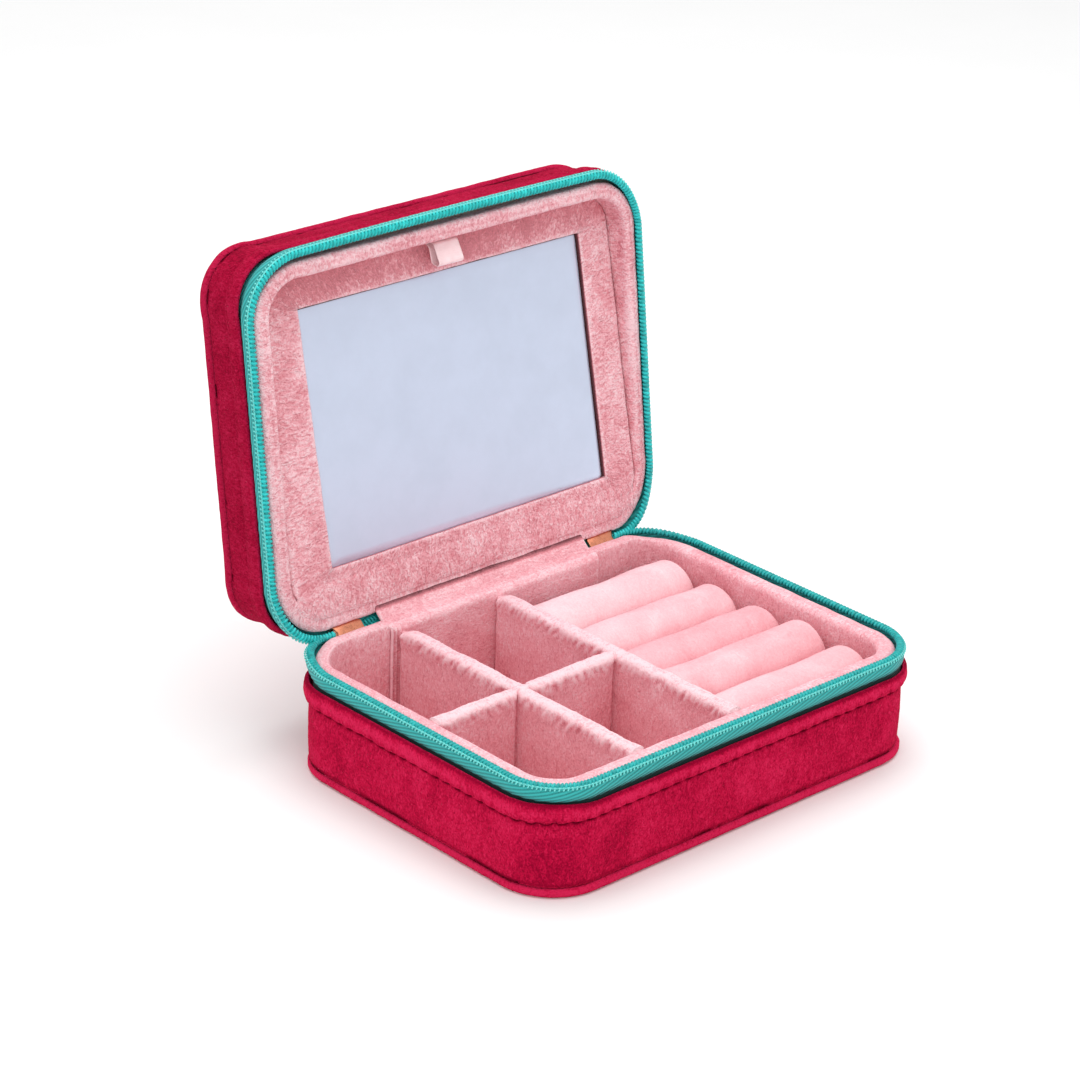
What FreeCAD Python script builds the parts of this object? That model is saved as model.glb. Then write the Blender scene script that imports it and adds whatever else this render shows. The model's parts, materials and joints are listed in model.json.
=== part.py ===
import FreeCAD, Part
import math
import os

import Sketcher
from FreeCAD import Placement, Rotation, Vector

# A zip-round velvet travel jewelry box, standing open.
# Origin at the middle of the underside, +Z up, the hinge along X at the back (+Y).
# Lid pieces are drawn as if the case were shut, then turned open about the hinge.

doc = FreeCAD.newDocument("jewelry_box")
sheet = doc.addObject("Spreadsheet::Sheet", "Dims")

# Driving dimensions in millimetres and degrees
DIMENSIONS = {
    "case_width": 150.0,
    "case_depth": 111.4,
    "corner_radius": 18.5,
    "closing_height": 33.8,
    "hem_setback": 5.2,
    "lid_height": 23.6,
    "lid_open_angle": 97.5,
    "hinge_setout": 0.3,
    "panel_thickness": 3.0,
    "panel_edge_roll": 1.2,
    "layer_gap": 0.1,
    "cover_thickness": 1.3,
    "cover_gap": 0.2,
    "hem_roll": 0.5,
    "board_inset": 2.1,
    "board_thickness": 1.8,
    "board_setback": 6.8,
    "tape_inset": 1.4,
    "tape_thickness": 0.6,
    "tape_setback": 2.6,
    "tape_sewn_depth": 9.0,
    "tape_back_cut": 5.4,
    "coil_inset": 1.0,
    "coil_width": 2.2,
    "coil_height": 2.4,
    "coil_gap": 0.1,
    "coil_round": 0.8,
    "zip_end": 57.2,
    "lining_inset": 4.0,
    "lining_thickness": 5.0,
    "lining_back_thickness": 1.0,
    "lining_setback": 1.3,
    "rim_round": 2.2,
    "floor_pad_thickness": 1.6,
    "divider_thickness": 4.0,
    "divider_top": 31.5,
    "divider_gap": 0.2,
    "divider_round": 1.4,
    "main_divider_x": 2.0,
    "side_divider_x": -35.0,
    "cross_divider_y": -0.6,
    "roll_pitch": 18.2,
    "roll_half_width": 8.8,
    "roll_foot_half_width": 7.6,
    "roll_crest": 29.2,
    "roll_right_end": 61.5,
    "roll_end_round": 3.4,
    "roll_shoulder_place": 1.13,
    "roll_end_share": 0.74,
    "roll_shoulder_share": 0.93,
    "spine_left": -39.0,
    "spine_right": 42.5,
    "spine_thickness": 0.9,
    "spine_sewn_depth": 17.0,
    "spine_lining_thickness": 1.0,
    "spine_lid_reach": 2.6,
    "spine_lid_rise": 3.0,
    "lid_lining_inset": 4.0,
    "lid_rim_width": 4.0,
    "lid_rim_width_at_hinge": 3.2,
    "lid_lining_setback": 1.5,
    "lid_inner_radius": 10.5,
    "lid_rim_round": 1.5,
    "lid_pad_thickness": 1.5,
    "flap_gap": 0.6,
    "flap_radius": 9.5,
    "flap_hinge_y": 47.1,
    "flap_hinge_depth": 2.2,
    "flap_hinge_radius": 1.0,
    "flap_tilt": 4.9,
    "flap_face_depth": 1.4,
    "flap_face_thickness": 2.0,
    "flap_board_thickness": 1.6,
    "flap_back_thickness": 0.8,
    "mirror_width": 106.0,
    "mirror_height": 75.0,
    "mirror_x": 0.8,
    "mirror_y": 0.5,
    "mirror_gap": 0.3,
    "mirror_recess": 0.5,
    "mirror_thickness": 1.1,
    "mirror_pad_margin": 4.0,
    "ledge_width": 4.0,
    "ribbon_width": 9.0,
    "ribbon_thickness": 0.5,
    "ribbon_reach": 5.0,
    "ribbon_top": -46.4,
    "ribbon_foot": -39.4,
    "ribbon_shoulder": 1.0,
    "ribbon_bow": 1.5,
    "slider_length": 10.5,
    "slider_half_width": 3.9,
    "slider_plate": 1.2,
    "slider_half_gap": 1.6,
    "slider_flange": 0.6,
    "slider_flange_depth": 0.9,
    "slider_post_length": 3.8,
    "slider_post_half_width": 0.8,
    "slider_round": 1.3,
    "left_slider_x": -49.3,
    "right_slider_x": 50.0,
    "bridge_length": 8.0,
    "bridge_leg": 1.5,
    "bridge_half_width": 1.4,
    "bridge_bar": 1.0,
    "bridge_height": 4.2,
    "pull_axis_rise": 2.2,
    "pull_bar_radius": 0.6,
    "pull_half_width": 2.7,
    "pull_arm": 0.8,
    "pull_eye_length": 5.4,
    "pull_length": 21.0,
    "pull_half_thickness": 0.6,
    "pull_hole_radius": 1.1,
    "pull_hole_depth": 2.4,
    "pull_hole_setback": 5.4,
    "tail_coil_half_thickness": 1.1,
    "tail_coil_half_width": 2.2,
    "tail_tape_half_thickness": 0.3,
    "tail_tape_half_width": 3.4,
    "tail_in_slider": 2.5,
    "tail_spine_gap": 0.8,
}
# Lengths and volumes closer than this count as equal
NEARLY = 1e-3
QUARTER_TURN = 90

for row, (alias, size) in enumerate(DIMENSIONS.items(), start=1):
    sheet.set(f"A{row}", alias)
    sheet.set(f"B{row}", str(size))
    sheet.setAlias(f"B{row}", alias)
doc.recompute()

# Sizes worked out from the driving dimensions, as expressions of the sheet
HALF_WIDTH = "Dims.case_width / 2"
HALF_DEPTH = "Dims.case_depth / 2"
CLOSING = "Dims.closing_height"
LID_TOP = f"({CLOSING} + Dims.lid_height)"
BASE_HEM = f"({CLOSING} - Dims.hem_setback)"
LID_HEM = f"({CLOSING} + Dims.hem_setback)"
HINGE_Y = f"({HALF_DEPTH} + Dims.hinge_setout)"
TRAY_FOOT = "(Dims.panel_thickness + Dims.layer_gap)"
TRAY_FLOOR = f"({TRAY_FOOT} + Dims.board_thickness)"
LINING_FOOT = f"({TRAY_FLOOR} + Dims.layer_gap)"
FLOOR_TOP = f"({LINING_FOOT} + Dims.floor_pad_thickness)"
RIM_TOP = f"({CLOSING} - Dims.lining_setback)"
INNER_INSET = "(Dims.lining_inset + Dims.lining_thickness)"
INNER_X = f"({HALF_WIDTH} - {INNER_INSET})"
INNER_Y = f"({HALF_DEPTH} - {INNER_INSET})"
LID_BOARD = f"({LID_TOP} - {TRAY_FLOOR})"
LID_LINING_TOP = f"({LID_TOP} - {LINING_FOOT})"
LID_INNER_INSET = "(Dims.lid_lining_inset + Dims.lid_rim_width)"
LID_OPENING_FRONT = f"({LID_INNER_INSET} - {HALF_DEPTH})"
LID_OPENING_BACK = f"({HALF_DEPTH} - Dims.lid_lining_inset - Dims.lid_rim_width_at_hinge)"
INNER_BACK = f"({HALF_DEPTH} - Dims.lining_inset - Dims.lining_back_thickness)"
SPINE_Y = f"({INNER_BACK} - Dims.spine_lining_thickness - Dims.layer_gap)"


def value(expression):
    """The number that an expression of the sheet gives."""
    return float(sheet.evalExpression(expression))


# Where the moving bodies stand at rest
LID_OPEN = value("Dims.lid_open_angle")
HINGE = Vector(0, value(HINGE_Y), value(CLOSING))
X_AXIS = Vector(1, 0, 0)
AT_HOME = Placement()
ON_LID = Placement(Vector(), Rotation(X_AXIS, -LID_OPEN), HINGE)
ON_ZIP_TAIL = Placement(Vector(), Rotation(X_AXIS, -LID_OPEN / 2), HINGE)
FLAP_HINGE = Vector(0, value("Dims.flap_hinge_y"), value(f"{CLOSING} + Dims.flap_hinge_depth"))
FLAP_TILT = Placement(Vector(), Rotation(X_AXIS, -value("Dims.flap_tilt")), FLAP_HINGE)
ON_FLAP = ON_LID.multiply(FLAP_TILT)

nodes = []


def keep(piece, label, placement=AT_HOME):
    """Name a finished sub-part and stand it in its place."""
    piece.Label = label
    piece.Placement = placement
    nodes.append(piece)
    return piece


# Sketch helpers
def new_sketch(body, name, role, offset="0"):
    """A sketch on one of the body's own origin planes, moved along that plane's normal."""
    sketch = body.newObject("Sketcher::SketchObject", name)
    plane = next(f for f in body.Origin.OriginFeatures if f.Role == role)
    sketch.AttachmentSupport = [(plane, "")]
    sketch.MapMode = "FlatFace"
    sketch.setExpression("AttachmentOffset.Base.z", offset)
    return sketch


def bind(sketch, kind, *where, size):
    """Add a dimension to a sketch and tie it to the sheet."""
    number = sketch.addConstraint(Sketcher.Constraint(kind, *where, value(size)))
    sketch.setExpression(f"Constraints[{number}]", size)


def rounded_outline(sketch, left, right, front, back, radius):
    """A rectangle with round corners, each side dimensioned from the sketch's origin."""
    x0, x1, y0, y1, r = (value(size) for size in (left, right, front, back, radius))
    corners = [(x0 + r, y0), (x1 - r, y0), (x1, y0 + r), (x1, y1 - r),
               (x1 - r, y1), (x0 + r, y1), (x0, y1 - r), (x0, y0 + r)]
    centres = [(x1 - r, y0 + r), (x1 - r, y1 - r), (x0 + r, y1 - r), (x0 + r, y0 + r)]
    lines, arcs = [], []
    for number, centre in enumerate(centres):
        start, end = corners[2 * number], corners[2 * number + 1]
        lines.append(sketch.addGeometry(Part.LineSegment(Vector(*start), Vector(*end))))
        circle = Part.Circle(Vector(*centre), Vector(0, 0, 1), r)
        quarter = math.radians(QUARTER_TURN)
        turn = quarter * (number - 1)
        arcs.append(sketch.addGeometry(Part.ArcOfCircle(circle, turn, turn + quarter)))
    for number, (line, arc) in enumerate(zip(lines, arcs)):
        following = lines[(number + 1) % len(lines)]
        sketch.addConstraint(Sketcher.Constraint("Tangent", line, 2, arc, 1))
        sketch.addConstraint(Sketcher.Constraint("Tangent", arc, 2, following, 1))
        sketch.addConstraint(Sketcher.Constraint("Vertical" if number % 2 else "Horizontal", line))
    for arc in arcs[1:]:
        sketch.addConstraint(Sketcher.Constraint("Equal", arcs[0], arc))
    bind(sketch, "Radius", arcs[0], size=radius)
    bind(sketch, "DistanceY", -1, 1, lines[0], 1, size=front)
    bind(sketch, "DistanceX", -1, 1, lines[1], 1, size=right)
    bind(sketch, "DistanceY", -1, 1, lines[2], 1, size=back)
    bind(sketch, "DistanceX", -1, 1, lines[3], 1, size=left)


def case_outline(sketch, inset):
    """The case's own outline, drawn in by an inset all round."""
    rounded_outline(
        sketch,
        f"{inset} - {HALF_WIDTH}",
        f"{HALF_WIDTH} - {inset}",
        f"{inset} - {HALF_DEPTH}",
        f"{HALF_DEPTH} - {inset}",
        f"Dims.corner_radius - {inset}",
    )


def polygon(sketch, points):
    """A closed outline of straight sides, each corner dimensioned from the sketch's origin."""
    spots = [Vector(value(x), value(y)) for x, y in points]
    lines = [
        sketch.addGeometry(Part.LineSegment(spots[number - 1], spot))
        for number, spot in enumerate(spots)
    ]
    for number, line in enumerate(lines):
        sketch.addConstraint(Sketcher.Constraint("Coincident", lines[number - 1], 2, line, 1))
        bind(sketch, "DistanceX", -1, 1, line, 2, size=points[number][0])
        bind(sketch, "DistanceY", -1, 1, line, 2, size=points[number][1])


# Feature helpers
def new_body(name):
    """An empty body for one sub-part."""
    return doc.addObject("PartDesign::Body", name + "_body")


def pad(body, name, sketch, length):
    """Raise a sketch into a solid."""
    feature = body.newObject("PartDesign::Pad", name)
    feature.Profile = sketch
    feature.setExpression("Length", length)
    doc.recompute()
    return feature


def pocket(body, name, sketch, length, upwards=False):
    """Cut a pocket, and refuse one that misses the solid."""
    before = body.Shape.Volume
    feature = body.newObject("PartDesign::Pocket", name)
    feature.Profile = sketch
    feature.Reversed = upwards
    feature.setExpression("Length", length)
    doc.recompute()
    if body.Shape.Volume > before - NEARLY:
        raise RuntimeError(f"{name} cuts nothing")
    return feature


def round_edges(body, name, radius, wanted):
    """Fillet the edges of the body's tip that a test picks."""
    base = body.Tip
    names = [f"Edge{n}" for n, edge in enumerate(base.Shape.Edges, start=1) if wanted(edge)]
    feature = body.newObject("PartDesign::Fillet", name)
    feature.Base = (base, names)
    feature.setExpression("Radius", radius)
    doc.recompute()
    return feature


def edges_at(height):
    """A test for edges that lie level at a height, given as an expression."""
    level = value(height)

    def lies_there(edge):
        box = edge.BoundBox
        return abs(box.ZMin - level) + abs(box.ZMax - level) < NEARLY

    return lies_there


def slab(name, inset, foot, top):
    """A plate with the case's outline."""
    body = new_body(name)
    sketch = new_sketch(body, name + "_outline", "XY_Plane", foot)
    case_outline(sketch, inset)
    pad(body, name + "_pad", sketch, f"{top} - {foot}")
    return body


def band(name, inset, thickness, foot, top):
    """A wall that follows the case's outline all the way round."""
    body = new_body(name)
    sketch = new_sketch(body, name + "_outline", "XY_Plane", foot)
    case_outline(sketch, inset)
    case_outline(sketch, f"({inset} + {thickness})")
    pad(body, name + "_pad", sketch, f"{top} - {foot}")
    return body


def tray(name, floor_foot, floor_top, wall_foot, wall_top):
    """A board tray: a floor plate and the wall that stands on it."""
    body = slab(name, "Dims.board_inset", floor_foot, floor_top)
    sketch = new_sketch(body, name + "_wall_outline", "XY_Plane", wall_foot)
    case_outline(sketch, "Dims.board_inset")
    case_outline(sketch, "(Dims.board_inset + Dims.board_thickness)")
    pad(body, name + "_wall", sketch, f"{wall_top} - {wall_foot}")
    return body


def open_back(body, name, height, depth, upwards):
    """Leave out the run of a band behind the two sliders and the spine."""
    sketch = new_sketch(body, name + "_outline", "XY_Plane", height)
    front = f"({HALF_DEPTH} - Dims.corner_radius / 2)"
    back = f"({HALF_DEPTH} + Dims.cover_thickness)"
    polygon(sketch, [("-Dims.zip_end", front), ("Dims.zip_end", front),
                     ("Dims.zip_end", back), ("-Dims.zip_end", back)])
    pocket(body, name, sketch, depth, upwards)


def box(name, x_range, y_range, z_range):
    """A block between two corners, given as expressions."""
    block = doc.addObject("Part::Box", name)
    for side, axis, (low, high) in zip(
        ("Length", "Width", "Height"), "xyz", (x_range, y_range, z_range)
    ):
        block.setExpression(side, f"{high} - {low}")
        block.setExpression(f"Placement.Base.{axis}", low)
    return block


def fuse(name, pieces):
    """Several blocks joined into one solid."""
    joined = doc.addObject("Part::MultiFuse", name)
    joined.Shapes = pieces
    joined.Refine = True
    return joined


# Covered panels under the base and on top of the lid, each with a rolled edge
def make_panel(label, foot, top, placement):
    """A plate whose two edges are rolled."""
    body = slab(label, "Dims.layer_gap", foot, top)
    at_foot, at_top = edges_at(foot), edges_at(top)
    round_edges(body, label + "_roll", "Dims.panel_edge_roll", lambda e: at_foot(e) or at_top(e))
    keep(body, label, placement)


make_panel("base_bottom_panel", "0", "Dims.panel_thickness", AT_HOME)
make_panel("lid_top_panel", f"({LID_TOP} - Dims.panel_thickness)", LID_TOP, ON_LID)


# Velvet covers round the two walls, with a rolled hem beside the zip
def make_cover(label, foot, top, placement):
    """A wall of velvet whose two edges are turned in."""
    body = band(label, "0", "Dims.cover_thickness", foot, top)
    at_foot, at_top = edges_at(foot), edges_at(top)
    round_edges(body, label + "_hem", "Dims.hem_roll", lambda e: at_foot(e) or at_top(e))
    keep(body, label, placement)


make_cover("base_cover", "(Dims.panel_thickness + Dims.cover_gap)", BASE_HEM, AT_HOME)
make_cover("lid_cover", LID_HEM, f"({LID_TOP} - Dims.panel_thickness - Dims.cover_gap)", ON_LID)


# Board trays that stiffen the base and the lid
BASE_BOARD_TOP = f"({CLOSING} - Dims.board_setback)"
LID_BOARD_FOOT = f"({CLOSING} + Dims.board_setback)"
keep(tray("base_tray", TRAY_FOOT, TRAY_FLOOR, TRAY_FLOOR, BASE_BOARD_TOP), "base_tray")
keep(
    tray("lid_tray", LID_BOARD, f"({LID_TOP} - {TRAY_FOOT})", LID_BOARD_FOOT, LID_BOARD),
    "lid_tray",
    ON_LID,
)


# Zip tapes and coils on the two rims, open at the back
def make_zip(side, way, placement):
    """way is 1 for the lid, whose zip stands above the closing plane, and -1 for the base."""
    def level(setback):
        return f"({CLOSING} + {way} * ({setback}))"

    def foot_and_top(near, far):
        return (near, far) if way > 0 else (far, near)

    tape_name, coil_name = f"{side}_zip_tape", f"{side}_zip_coil"
    tape_edge = level("Dims.tape_setback")
    tape_sewn = level("Dims.tape_setback + Dims.tape_sewn_depth")
    coil_edge = level("Dims.coil_gap")
    coil_back = level("Dims.coil_gap + Dims.coil_height")
    upright = foot_and_top(tape_edge, tape_sewn)
    tape = band(tape_name, "Dims.tape_inset", "Dims.tape_thickness", *upright)
    open_back(tape, f"{side}_tape_back", tape_edge, "Dims.tape_back_cut - Dims.tape_setback", way > 0)
    keep(tape, tape_name, placement)
    upright = foot_and_top(coil_edge, coil_back)
    coil = band(coil_name, "Dims.coil_inset", "Dims.coil_width", *upright)
    round_edges(coil, f"{side}_coil_round", "Dims.coil_round", edges_at(coil_edge))
    open_back(coil, f"{side}_coil_back", coil_edge, "Dims.coil_height + Dims.layer_gap", way > 0)
    keep(coil, coil_name, placement)


make_zip("base", -1, AT_HOME)
make_zip("lid", 1, ON_LID)


# Padded pink lining of the base, with its round rim and thin along the back wall, and the pad on the floor
base_lining = band("base_lining", "Dims.lining_inset", "Dims.lining_thickness", LINING_FOOT, RIM_TOP)
round_edges(base_lining, "base_rim_round", "Dims.rim_round", edges_at(RIM_TOP))
back_room = new_sketch(base_lining, "base_lining_back", "XY_Plane", RIM_TOP)
rounded_outline(back_room, f"-{INNER_X}", INNER_X, "0", INNER_BACK, f"Dims.corner_radius - {INNER_INSET}")
pocket(base_lining, "base_lining_back_room", back_room, f"{RIM_TOP} - {FLOOR_TOP}")
keep(base_lining, "base_lining")
base_floor_pad = slab("base_floor_pad", f"({INNER_INSET} + Dims.layer_gap)", LINING_FOOT, FLOOR_TOP)
keep(base_floor_pad, "base_floor_pad")


# Interlocking dividers: the cross divider and the side divider are halved into each other
DIVIDER_FOOT = f"({FLOOR_TOP} + Dims.layer_gap)"
DIVIDER_MIDDLE = f"(({DIVIDER_FOOT} + Dims.divider_top) / 2)"
HALF_DIVIDER = "(Dims.divider_thickness / 2)"
DIVIDER_FRONT = f"(Dims.divider_gap - {INNER_Y})"
DIVIDER_BACK = f"({SPINE_Y} - Dims.divider_gap)"


def divider(label, x_range, y_range, slot=None):
    """A padded divider with a round top edge and, where it crosses another, a slot."""
    body = new_body(label)
    sketch = new_sketch(body, label + "_plan", "XY_Plane", DIVIDER_FOOT)
    (x0, x1), (y0, y1) = x_range, y_range
    polygon(sketch, [(x0, y0), (x1, y0), (x1, y1), (x0, y1)])
    pad(body, label + "_pad", sketch, f"Dims.divider_top - {DIVIDER_FOOT}")
    round_edges(body, label + "_round", "Dims.divider_round", edges_at("Dims.divider_top"))
    if slot:
        (sx0, sx1), (sy0, sy1), from_top = slot
        level = "Dims.divider_top" if from_top else DIVIDER_FOOT
        sketch = new_sketch(body, label + "_slot_plan", "XY_Plane", level)
        polygon(sketch, [(sx0, sy0), (sx1, sy0), (sx1, sy1), (sx0, sy1)])
        depth = f"Dims.divider_top - {DIVIDER_MIDDLE}"
        pocket(body, label + "_slot", sketch, depth, upwards=not from_top)
    keep(body, label)


def across(centre, margin="0"):
    """The two faces of a divider, or of a slot that is wider by a margin on each side."""
    return f"({centre} - {HALF_DIVIDER} - {margin})", f"({centre} + {HALF_DIVIDER} + {margin})"


SIDE_FACES = across("Dims.side_divider_x")
CROSS_FACES = across("Dims.cross_divider_y")
MAIN_FACES = across("Dims.main_divider_x")
LENGTHWISE = (DIVIDER_FRONT, DIVIDER_BACK)
CROSSWISE = (f"(Dims.divider_gap - {INNER_X})", f"({MAIN_FACES[0]} - Dims.layer_gap)")
SIDE_SLOT = across("Dims.side_divider_x", "Dims.layer_gap")
CROSS_SLOT = across("Dims.cross_divider_y", "Dims.layer_gap")
PAST_SIDE = across("Dims.side_divider_x", "Dims.divider_gap")
PAST_CROSS = across("Dims.cross_divider_y", "Dims.divider_gap")
divider("divider_main", MAIN_FACES, LENGTHWISE)
divider("divider_side", SIDE_FACES, LENGTHWISE, (PAST_SIDE, CROSS_SLOT, True))
divider("divider_cross", CROSSWISE, CROSS_FACES, (SIDE_SLOT, PAST_CROSS, False))


# Ring rolls: padded loaves with a round crown, narrower at the foot and drawn in at both ends
ROLL_LEFT_END = f"({MAIN_FACES[1]} + Dims.divider_gap)"
ROLL_SHOULDER = "(Dims.roll_crest - Dims.roll_half_width)"


def roll_section(body, name, offset, centre, share):
    """A crowned section across a roll, whose width and height above the floor shrink by a share."""
    sketch = new_sketch(body, name, "YZ_Plane", offset)
    half = f"(Dims.roll_half_width * {share})"
    foot_half = f"(Dims.roll_foot_half_width * {share})"
    shoulder = f"({DIVIDER_FOOT} + ({ROLL_SHOULDER} - {DIVIDER_FOOT}) * {share})"
    y, w, f, z0, z1 = (value(e) for e in (centre, half, foot_half, DIVIDER_FOOT, shoulder))
    left_foot, right_foot = Vector(y - f, z0), Vector(y + f, z0)
    left_side, right_side = Vector(y - w, z1), Vector(y + w, z1)
    crown = Part.Circle(Vector(y, z1), Vector(0, 0, 1), w)
    quarter = math.radians(QUARTER_TURN)
    ids = [
        sketch.addGeometry(Part.LineSegment(left_foot, right_foot)),
        sketch.addGeometry(Part.LineSegment(right_foot, right_side)),
        sketch.addGeometry(Part.ArcOfCircle(crown, 0, quarter)),
        sketch.addGeometry(Part.ArcOfCircle(crown, quarter, 2 * quarter)),
        sketch.addGeometry(Part.LineSegment(left_side, left_foot)),
    ]
    foot, right, arc, other_arc, left = ids
    for number, edge in enumerate(ids):
        sketch.addConstraint(Sketcher.Constraint("Coincident", ids[number - 1], 2, edge, 1))
    sketch.addConstraint(Sketcher.Constraint("Coincident", arc, 3, other_arc, 3))
    sketch.addConstraint(Sketcher.Constraint("Vertical", arc, 3, arc, 2))
    sketch.addConstraint(Sketcher.Constraint("Horizontal", arc, 3, arc, 1))
    sketch.addConstraint(Sketcher.Constraint("Horizontal", left, 1, right, 2))
    sketch.addConstraint(Sketcher.Constraint("Horizontal", foot))
    bind(sketch, "Radius", arc, size=half)
    bind(sketch, "DistanceX", -1, 1, arc, 3, size=centre)
    bind(sketch, "DistanceY", -1, 1, arc, 3, size=shoulder)
    bind(sketch, "DistanceY", -1, 1, foot, 1, size=DIVIDER_FOOT)
    bind(sketch, "DistanceX", -1, 1, foot, 1, size=f"{centre} - {foot_half}")
    bind(sketch, "DistanceX", -1, 1, foot, 2, size=f"{centre} + {foot_half}")
    return sketch


def ring_roll(label, centre):
    """One padded roll, lofted through sections along the case's width."""
    body = new_body(label)
    near, far = ROLL_LEFT_END, "Dims.roll_right_end"
    stations = [
        (near, "Dims.roll_end_share"),
        (f"{near} + Dims.roll_shoulder_place", "Dims.roll_shoulder_share"),
        (f"{near} + Dims.roll_end_round", "1"),
        (f"{far} - Dims.roll_end_round", "1"),
        (f"{far} - Dims.roll_shoulder_place", "Dims.roll_shoulder_share"),
        (far, "Dims.roll_end_share"),
    ]
    sections = [
        roll_section(body, f"{label}_section_{number}", offset, centre, share)
        for number, (offset, share) in enumerate(stations)
    ]
    doc.recompute()
    loft = body.newObject("PartDesign::AdditiveLoft", label + "_loft")
    loft.Profile = sections[0]
    loft.Sections = sections[1:]
    loft.Ruled = True
    doc.recompute()
    keep(body, label)


ROLL_COUNT = 5
for number in range(ROLL_COUNT):
    ring_roll(f"ring_roll_{number + 1}", f"(Dims.roll_pitch * {(ROLL_COUNT - 1) / 2 - number})")


# Spine: a velvet cover outside that folds about the hinge, and a lining strip inside
SPINE_X = ("Dims.spine_left", "Dims.spine_right")
SPINE_WIDTH = "Dims.spine_right - Dims.spine_left"
SPINE_FACE = f"({HALF_DEPTH} + Dims.layer_gap)"
SPINE_OUTSIDE = f"({SPINE_FACE} + Dims.spine_thickness)"
spine_base_leg = box("spine_base_leg", SPINE_X, (SPINE_FACE, SPINE_OUTSIDE),
                     (f"({CLOSING} - Dims.spine_sewn_depth)", CLOSING))
spine_lid_leg = doc.addObject("Part::Box", "spine_lid_leg")
spine_lid_leg.setExpression("Length", SPINE_WIDTH)
spine_lid_leg.setExpression("Width", "Dims.spine_thickness")
spine_lid_leg.setExpression("Height", "Dims.spine_sewn_depth")
leg_corner = Vector(value("Dims.spine_left"), value(SPINE_FACE), value(CLOSING))
spine_lid_leg.Placement = ON_LID.multiply(Placement(leg_corner, Rotation()))
spine_fold = doc.addObject("Part::Cylinder", "spine_fold")
spine_fold.setExpression("Radius", "Dims.spine_thickness")
spine_fold.setExpression("Height", SPINE_WIDTH)
ALONG_X = Rotation(Vector(0, 1, 0), QUARTER_TURN)
spine_fold.Placement = Placement(Vector(value("Dims.spine_left"), HINGE.y, HINGE.z), ALONG_X)
keep(fuse("spine_cover_fuse", [spine_base_leg, spine_lid_leg, spine_fold]), "spine_cover")


def spine_lining():
    """A strip down the inside of the back wall, over the rim and up behind the lid's rim."""
    body = new_body("spine_lining")
    sketch = new_sketch(body, "spine_lining_section", "YZ_Plane", "Dims.spine_left")
    thick = "Dims.spine_lining_thickness"
    inner, outer = SPINE_Y, f"({SPINE_Y} + {thick})"
    over_low = f"({RIM_TOP} + Dims.layer_gap)"
    over_high = f"({over_low} + {thick})"
    lid_y, lid_z = f"({HINGE_Y} + Dims.spine_lid_reach)", f"({CLOSING} + Dims.spine_lid_rise)"
    bend = f"({HALF_DEPTH} - Dims.lining_inset)"
    polygon(sketch, [
        (outer, DIVIDER_FOOT),
        (outer, over_low),
        (bend, over_low),
        (f"({lid_y} + {thick} / 2)", lid_z),
        (lid_y, f"({lid_z} + {thick})"),
        (f"({bend} - {thick} / 2)", over_high),
        (inner, over_high),
        (inner, DIVIDER_FOOT),
    ])
    pad(body, "spine_lining_pad", sketch, SPINE_WIDTH)
    keep(body, "spine_lining")


spine_lining()


# Lid lining: a padded ring with a round rim, narrower on the hinge side, and the pad behind the flap
def lid_opening(sketch, margin):
    """The lid's inner opening, drawn in by a margin."""
    rounded_outline(
        sketch,
        f"{LID_INNER_INSET} + {margin} - {HALF_WIDTH}",
        f"{HALF_WIDTH} - {LID_INNER_INSET} - {margin}",
        f"{LID_OPENING_FRONT} + {margin}",
        f"{LID_OPENING_BACK} - {margin}",
        f"Dims.lid_inner_radius - {margin}",
    )


LID_RIM = f"({CLOSING} + Dims.lid_lining_setback)"
lid_lining = new_body("lid_lining")
lid_lining_plan = new_sketch(lid_lining, "lid_lining_plan", "XY_Plane", LID_RIM)
case_outline(lid_lining_plan, "Dims.lid_lining_inset")
lid_opening(lid_lining_plan, "0")
pad(lid_lining, "lid_lining_pad", lid_lining_plan, f"{LID_LINING_TOP} - {LID_RIM}")
round_edges(lid_lining, "lid_rim_round", "Dims.lid_rim_round", edges_at(LID_RIM))
keep(lid_lining, "lid_lining", ON_LID)

LID_PAD_FACE = f"({LID_LINING_TOP} - Dims.lid_pad_thickness)"
lid_pad = new_body("lid_back_lining")
lid_pad_plan = new_sketch(lid_pad, "lid_back_plan", "XY_Plane", LID_PAD_FACE)
lid_opening(lid_pad_plan, "Dims.layer_gap")
pad(lid_pad, "lid_back_pad", lid_pad_plan, "Dims.lid_pad_thickness")
keep(lid_pad, "lid_back_lining", ON_LID)


# Mirror flap: a velvet-faced board that leans back in the lid and swings out about its lower edge
FLAP_TOP = f"({LID_OPENING_FRONT} + Dims.flap_gap)"
FLAP_FOOT = "(Dims.flap_hinge_y - Dims.flap_hinge_radius - Dims.flap_gap / 2)"
FLAP_HALF_WIDTH = f"({HALF_WIDTH} - {LID_INNER_INSET} - Dims.flap_gap)"
FACE = f"({CLOSING} + Dims.flap_face_depth)"
FACE_BACK = f"({FACE} + Dims.flap_face_thickness)"
BOARD_BACK = f"({FACE_BACK} + Dims.flap_board_thickness)"
FLAP_BACK = f"({BOARD_BACK} + Dims.flap_back_thickness)"
MIRROR_FACE = f"({FACE} + Dims.mirror_recess)"
MIRROR_BACK = f"({MIRROR_FACE} + Dims.mirror_thickness)"


def flap_outline(sketch):
    """The flap's own outline, a little inside the lid's opening."""
    left, right = f"-{FLAP_HALF_WIDTH}", FLAP_HALF_WIDTH
    rounded_outline(sketch, left, right, FLAP_TOP, FLAP_FOOT, "Dims.flap_radius")


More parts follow.
